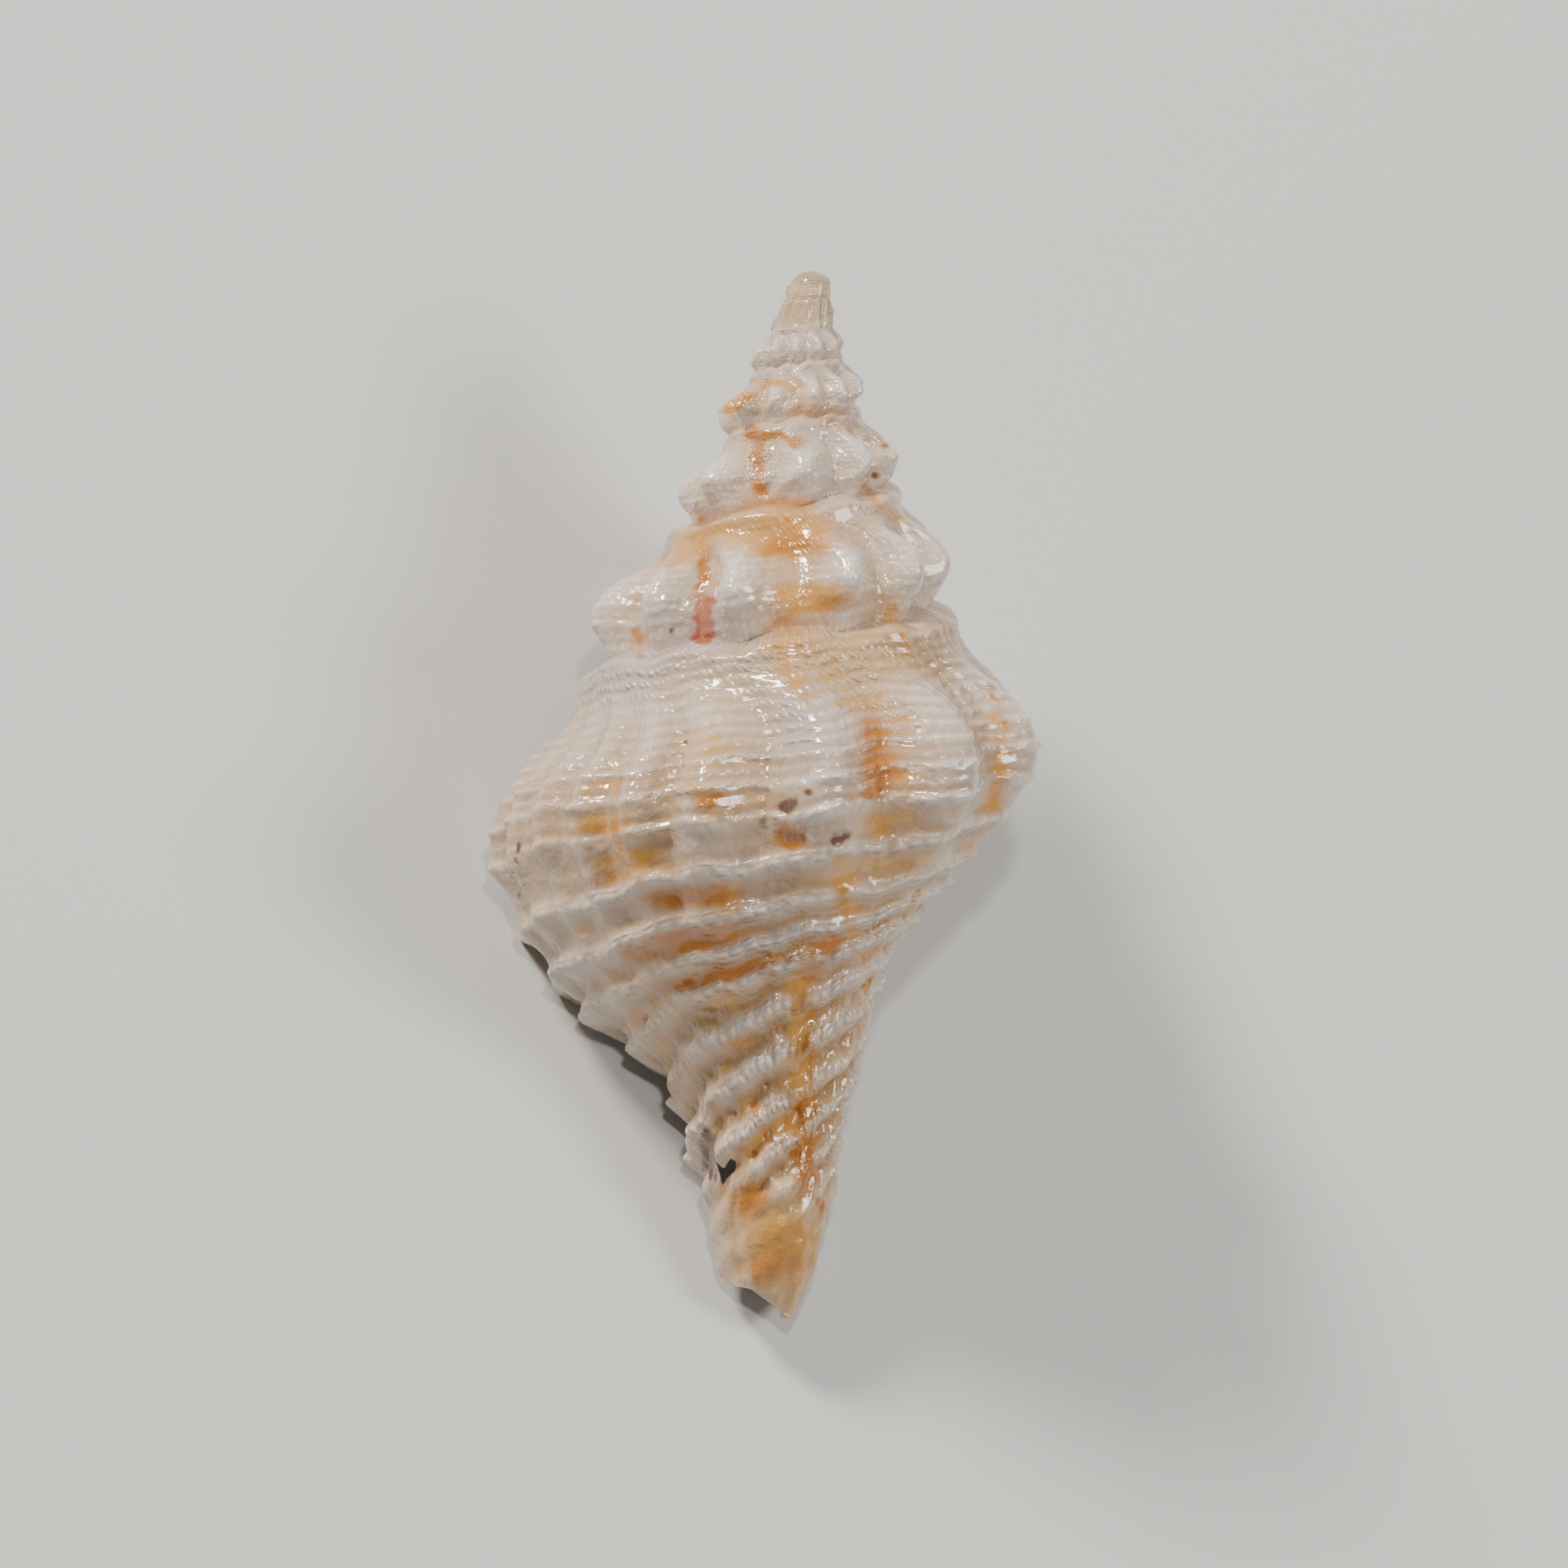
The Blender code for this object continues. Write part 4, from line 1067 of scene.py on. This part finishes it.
def stretched(across, down):
    """The growth map, closer packed across the growth lines or along them."""
    node = tree.nodes.new("ShaderNodeMapping")
    node.inputs["Scale"].default_value = (across, down, 1.0)
    tree.links.new(growth_map.outputs["UV"], node.inputs["Vector"])
    return node.outputs["Vector"]


def noise(vector, scale, detail=3.0, roughness=0.55):
    """Cloudy spots between 0 and 1."""
    node = tree.nodes.new("ShaderNodeTexNoise")
    node.inputs["Scale"].default_value = scale
    node.inputs["Detail"].default_value = detail
    node.inputs["Roughness"].default_value = roughness
    tree.links.new(vector, node.inputs["Vector"])
    return node.outputs["Fac"]


def combined(kind, first, second):
    """A Math node's result. Either side may be a number or another node's output."""
    node = tree.nodes.new("ShaderNodeMath")
    node.operation = kind
    for socket, value in zip(node.inputs, (first, second)):
        if isinstance(value, (int, float)):
            socket.default_value = value
        else:
            tree.links.new(value, socket)
    return node.outputs["Value"]


def times(first, second):
    """Both multiplied."""
    return combined("MULTIPLY", first, second)


def plus(first, second):
    """Both added."""
    return combined("ADD", first, second)


def all_but(share):
    """What a share leaves of 1."""
    return combined("SUBTRACT", 1.0, share)


def eased(value, start, end, low=0.0, high=1.0):
    """A value's range turned into another, with soft ends."""
    node = tree.nodes.new("ShaderNodeMapRange")
    node.interpolation_type = "SMOOTHSTEP"
    for name, number in (("From Min", start), ("From Max", end), ("To Min", low), ("To Max", high)):
        node.inputs[name].default_value = number
    tree.links.new(value, node.inputs["Value"])
    return node.outputs["Result"]


def washed(under, over, share):
    """One colour washed over another."""
    node = tree.nodes.new("ShaderNodeMix")
    node.data_type = "RGBA"
    tree.links.new(share, node.inputs["Factor"])
    for socket, value in ((node.inputs["A"], under), (node.inputs["B"], over)):
        if isinstance(value, tuple):
            socket.default_value = value
        else:
            tree.links.new(value, socket)
    return node.outputs["Result"]


def broken_up(amount, scale, start, end):
    """A stain's share, with the ragged edge and the thin spots that a real stain has."""
    spots = noise(place_on_shell, scale, detail=5.0, roughness=0.6)
    ragged = plus(spots, noise(stretched(*RAGGED_EDGE), scale=2.0, detail=4.0))
    return eased(times(amount, ragged), start, end)


def domes(vector, randomness):
    """Rounded beads, one to a cell, from 0 between them to 1 on top."""
    node = tree.nodes.new("ShaderNodeTexVoronoi")
    node.voronoi_dimensions = "2D"
    node.inputs["Scale"].default_value = 1.0
    node.inputs["Randomness"].default_value = randomness
    tree.links.new(vector, node.inputs["Vector"])
    return eased(node.outputs["Distance"], BEAD_RADIUS, 0.0)


groove = trait("groove")
clouds = eased(noise(place_on_shell, CLOUDS, detail=2.0), *CREAM_CLOUDS)
streaks = noise(stretched(*STREAKS), scale=3.0, detail=4.0)
colour = washed(LAVENDER, CREAM, clouds)
# Painted rim light: the sides turning from the camera glow warm
colour = washed(colour, PAINTED_RIM_GLOW, times(trait("rim_glow"), RIM_GLOW_SHARE))
colour = washed(colour, CREAM, eased(streaks, *CREAM_STREAKS))
colour = washed(colour, WASH, times(trait("wash"), eased(streaks, *WASH_STREAKS)))
colour = washed(colour, VALLEY_TAN, times(trait("valley"), eased(clouds, *VALLEY_CLOUDS)))
colour = washed(colour, CHALK, trait("knob"))
colour = washed(colour, LILAC, trait("lilac"))
# The grooves get their tan, darkened further as painted shade
groove_tan_and_shade_share = plus(eased(streaks, *GROOVE_STREAKS), times(trait("wash"), GROOVE_WASH))
colour = washed(colour, GROOVE_TAN_AND_SHADE, times(groove, groove_tan_and_shade_share))

# Beads: close ones above the base, coarser ones on the cords of the base
body_beads = times(domes(stretched(*BODY_BEADS), randomness=0.55), all_but(trait("base")))
on_base = times(eased(trait("crest"), *BASE_BEAD_PLACES), BASE_BEAD_STRENGTH)
beads = plus(times(domes(stretched(*BASE_BEADS), randomness=0.35), on_base), body_beads)
# The gaps between beads get the same tan and painted shade
between_beads = times(all_but(beads), all_but(groove))
colour = washed(colour, GROOVE_TAN_AND_SHADE, times(between_beads, BEAD_GAP_TAN_AND_SHADE))
chalky_beads = times(trait("crest"), eased(beads, *CHALKY_BEADS))
colour = washed(colour, CHALK, times(chalky_beads, BEAD_CHALK))

# Stains pool in the grooves
pooled = plus(times(groove, STAIN_POOLING), STAIN_OUTSIDE_GROOVES)
colour = washed(colour, OCHRE, broken_up(times(trait("ochre"), pooled), *OCHRE_EDGE))
colour = washed(colour, RUST, broken_up(times(trait("rust"), pooled), *RUST_EDGE))
colour = washed(colour, BRICK, broken_up(trait("brick"), *BRICK_EDGE))
colour = washed(colour, WORN_TAN, times(trait("apex"), WORN_SHARE))
colour = washed(colour, CHINA, trait("inside"))
colour = washed(colour, BROWN, broken_up(trait("brown"), *BROWN_EDGE))
# Painted shade: the inside of the chip goes near black
colour = washed(colour, PAINTED_CHIP_SHADE, trait("chip_shade"))
tree.links.new(colour, shader.inputs["Base Color"])

glossy = eased(noise(place_on_shell, GLOSS_SPOTS, detail=4.0), *GLOSS)
tree.links.new(plus(glossy, times(trait("chip_shade"), CHIP_SHADE_ROUGHNESS)), shader.inputs["Roughness"])
tree.links.new(times(all_but(trait("chip_shade")), GLAZE), shader.inputs["Coat Weight"])

# The finest relief, too small for the mesh
uneven = eased(noise(place_on_shell, BEAD_UNEVENNESS, detail=2.0), *UNEVEN_BEADS)
relief = times(times(beads, uneven), eased(groove, *BEADS_ON_CORDS))
relief = times(relief, all_but(times(trait("spire"), SPIRE_BEAD_LOSS)))
relief = times(relief, all_but(trait("canal")))
hair_lines = noise(stretched(*HAIR_LINES), scale=4.0, detail=3.0)
relief = plus(relief, times(hair_lines, HAIR_LINE_RELIEF))
relief = plus(relief, noise(place_on_shell, PIMPLES, detail=2.0))
relief = plus(relief, times(noise(place_on_shell, DIMPLES, detail=1.0), DIMPLE_RELIEF))
relief = times(relief, eased(trait("inside"), *CHINA_RELIEF))
bump = tree.nodes.new("ShaderNodeBump")
bump.inputs["Strength"].default_value = 1.0
bump.inputs["Distance"].default_value = RELIEF_DEPTH
tree.links.new(relief, bump.inputs["Height"])
tree.links.new(bump.outputs["Normal"], shader.inputs["Normal"])
mesh.materials.append(glaze)

# Floor: a plain pale sheet of board, larger than the view.
# The shell lies on it, and it is nearly matt, so that the shell is what shines.
FLOOR_HALF = 1.2
FLOOR_COLOUR = (0.62, 0.62, 0.60, 1.0)
FLOOR_ROUGHNESS = 0.7
floor_bm = bmesh.new()
bmesh.ops.create_grid(floor_bm, x_segments=2, y_segments=2, size=FLOOR_HALF)
board_mesh = bpy.data.meshes.new("board")
floor_bm.to_mesh(board_mesh)
floor_bm.free()
board = bpy.data.objects.new("board", board_mesh)
bpy.context.scene.collection.objects.link(board)
board_finish = bpy.data.materials.new("pale board")
board_finish.use_nodes = True
board_shader = board_finish.node_tree.nodes["Principled BSDF"]
board_shader.inputs["Base Color"].default_value = FLOOR_COLOUR
board_shader.inputs["Roughness"].default_value = FLOOR_ROUGHNESS
board_mesh.materials.append(board_finish)

# Lights: a broad soft window above the spire, a fill, a small lamp by the camera, and a pale room.
# Places are across, along the spire and towards the camera, as the camera sees them.
# Each light: name, place, width, power, colour
LIGHTS = (
    ("window", (-0.28, 0.46, 0.28), 0.12, 5.4, (1.0, 0.95, 0.89)),
    ("fill", (0.46, 0.1, 0.30), 0.20, 2.0, (1.0, 0.97, 0.93)),
    ("lamp", (0.04, 0.18, 0.57), 0.04, 1.15, (1.0, 0.96, 0.91)),
)
ROOM_COLOUR = (0.93, 0.95, 1.0, 1.0)
ROOM_STRENGTH = 0.17
for name, (across, along, towards), wide, power, light_colour in LIGHTS:
    light = bpy.data.lights.new(name, "AREA")
    light.shape = "DISK"
    light.size = wide
    light.energy = power
    light.color = light_colour
    lamp = bpy.data.objects.new(name, light)
    lamp.location = LYING @ Vector((across, along, towards))
    lamp.rotation_euler = (-lamp.location).to_track_quat("-Z", "Y").to_euler()
    bpy.context.scene.collection.objects.link(lamp)
room = bpy.data.worlds.new("room")
room.use_nodes = True
background = room.node_tree.nodes["Background"]
background.inputs["Color"].default_value = ROOM_COLOUR
background.inputs["Strength"].default_value = ROOM_STRENGTH
bpy.context.scene.world = room

# Camera: straight over the back of the last turn, as the shell was photographed.
# It stands far off with a long lens, so the outline is nearly that of a flat projection.
LENS = 400.0
SENSOR = 36.0
VIEW_WIDTH = VIEW_PIXELS * PIXEL
VIEW_CENTRE = Vector((-0.11, -18.14, 0.0))
VIEW_ROLL = math.atan(AXIS_TILT)
camera_data = bpy.data.cameras.new("camera")
camera_data.lens = LENS
camera_data.sensor_width = SENSOR
camera = bpy.data.objects.new("camera", camera_data)
right = LYING @ Vector((math.cos(VIEW_ROLL), math.sin(VIEW_ROLL), 0.0))
up = LYING @ Vector((-math.sin(VIEW_ROLL), math.cos(VIEW_ROLL), 0.0))
back = LYING @ Vector((0.0, 0.0, 1.0))
target = (LYING @ VIEW_CENTRE + RESTING_PLACE) * MM
place = target + back * (LENS / SENSOR * VIEW_WIDTH * MM)
camera.matrix_world = Matrix.Translation(place) @ Matrix((right, up, back)).transposed().to_4x4()
bpy.context.scene.collection.objects.link(camera)
bpy.context.scene.camera = camera
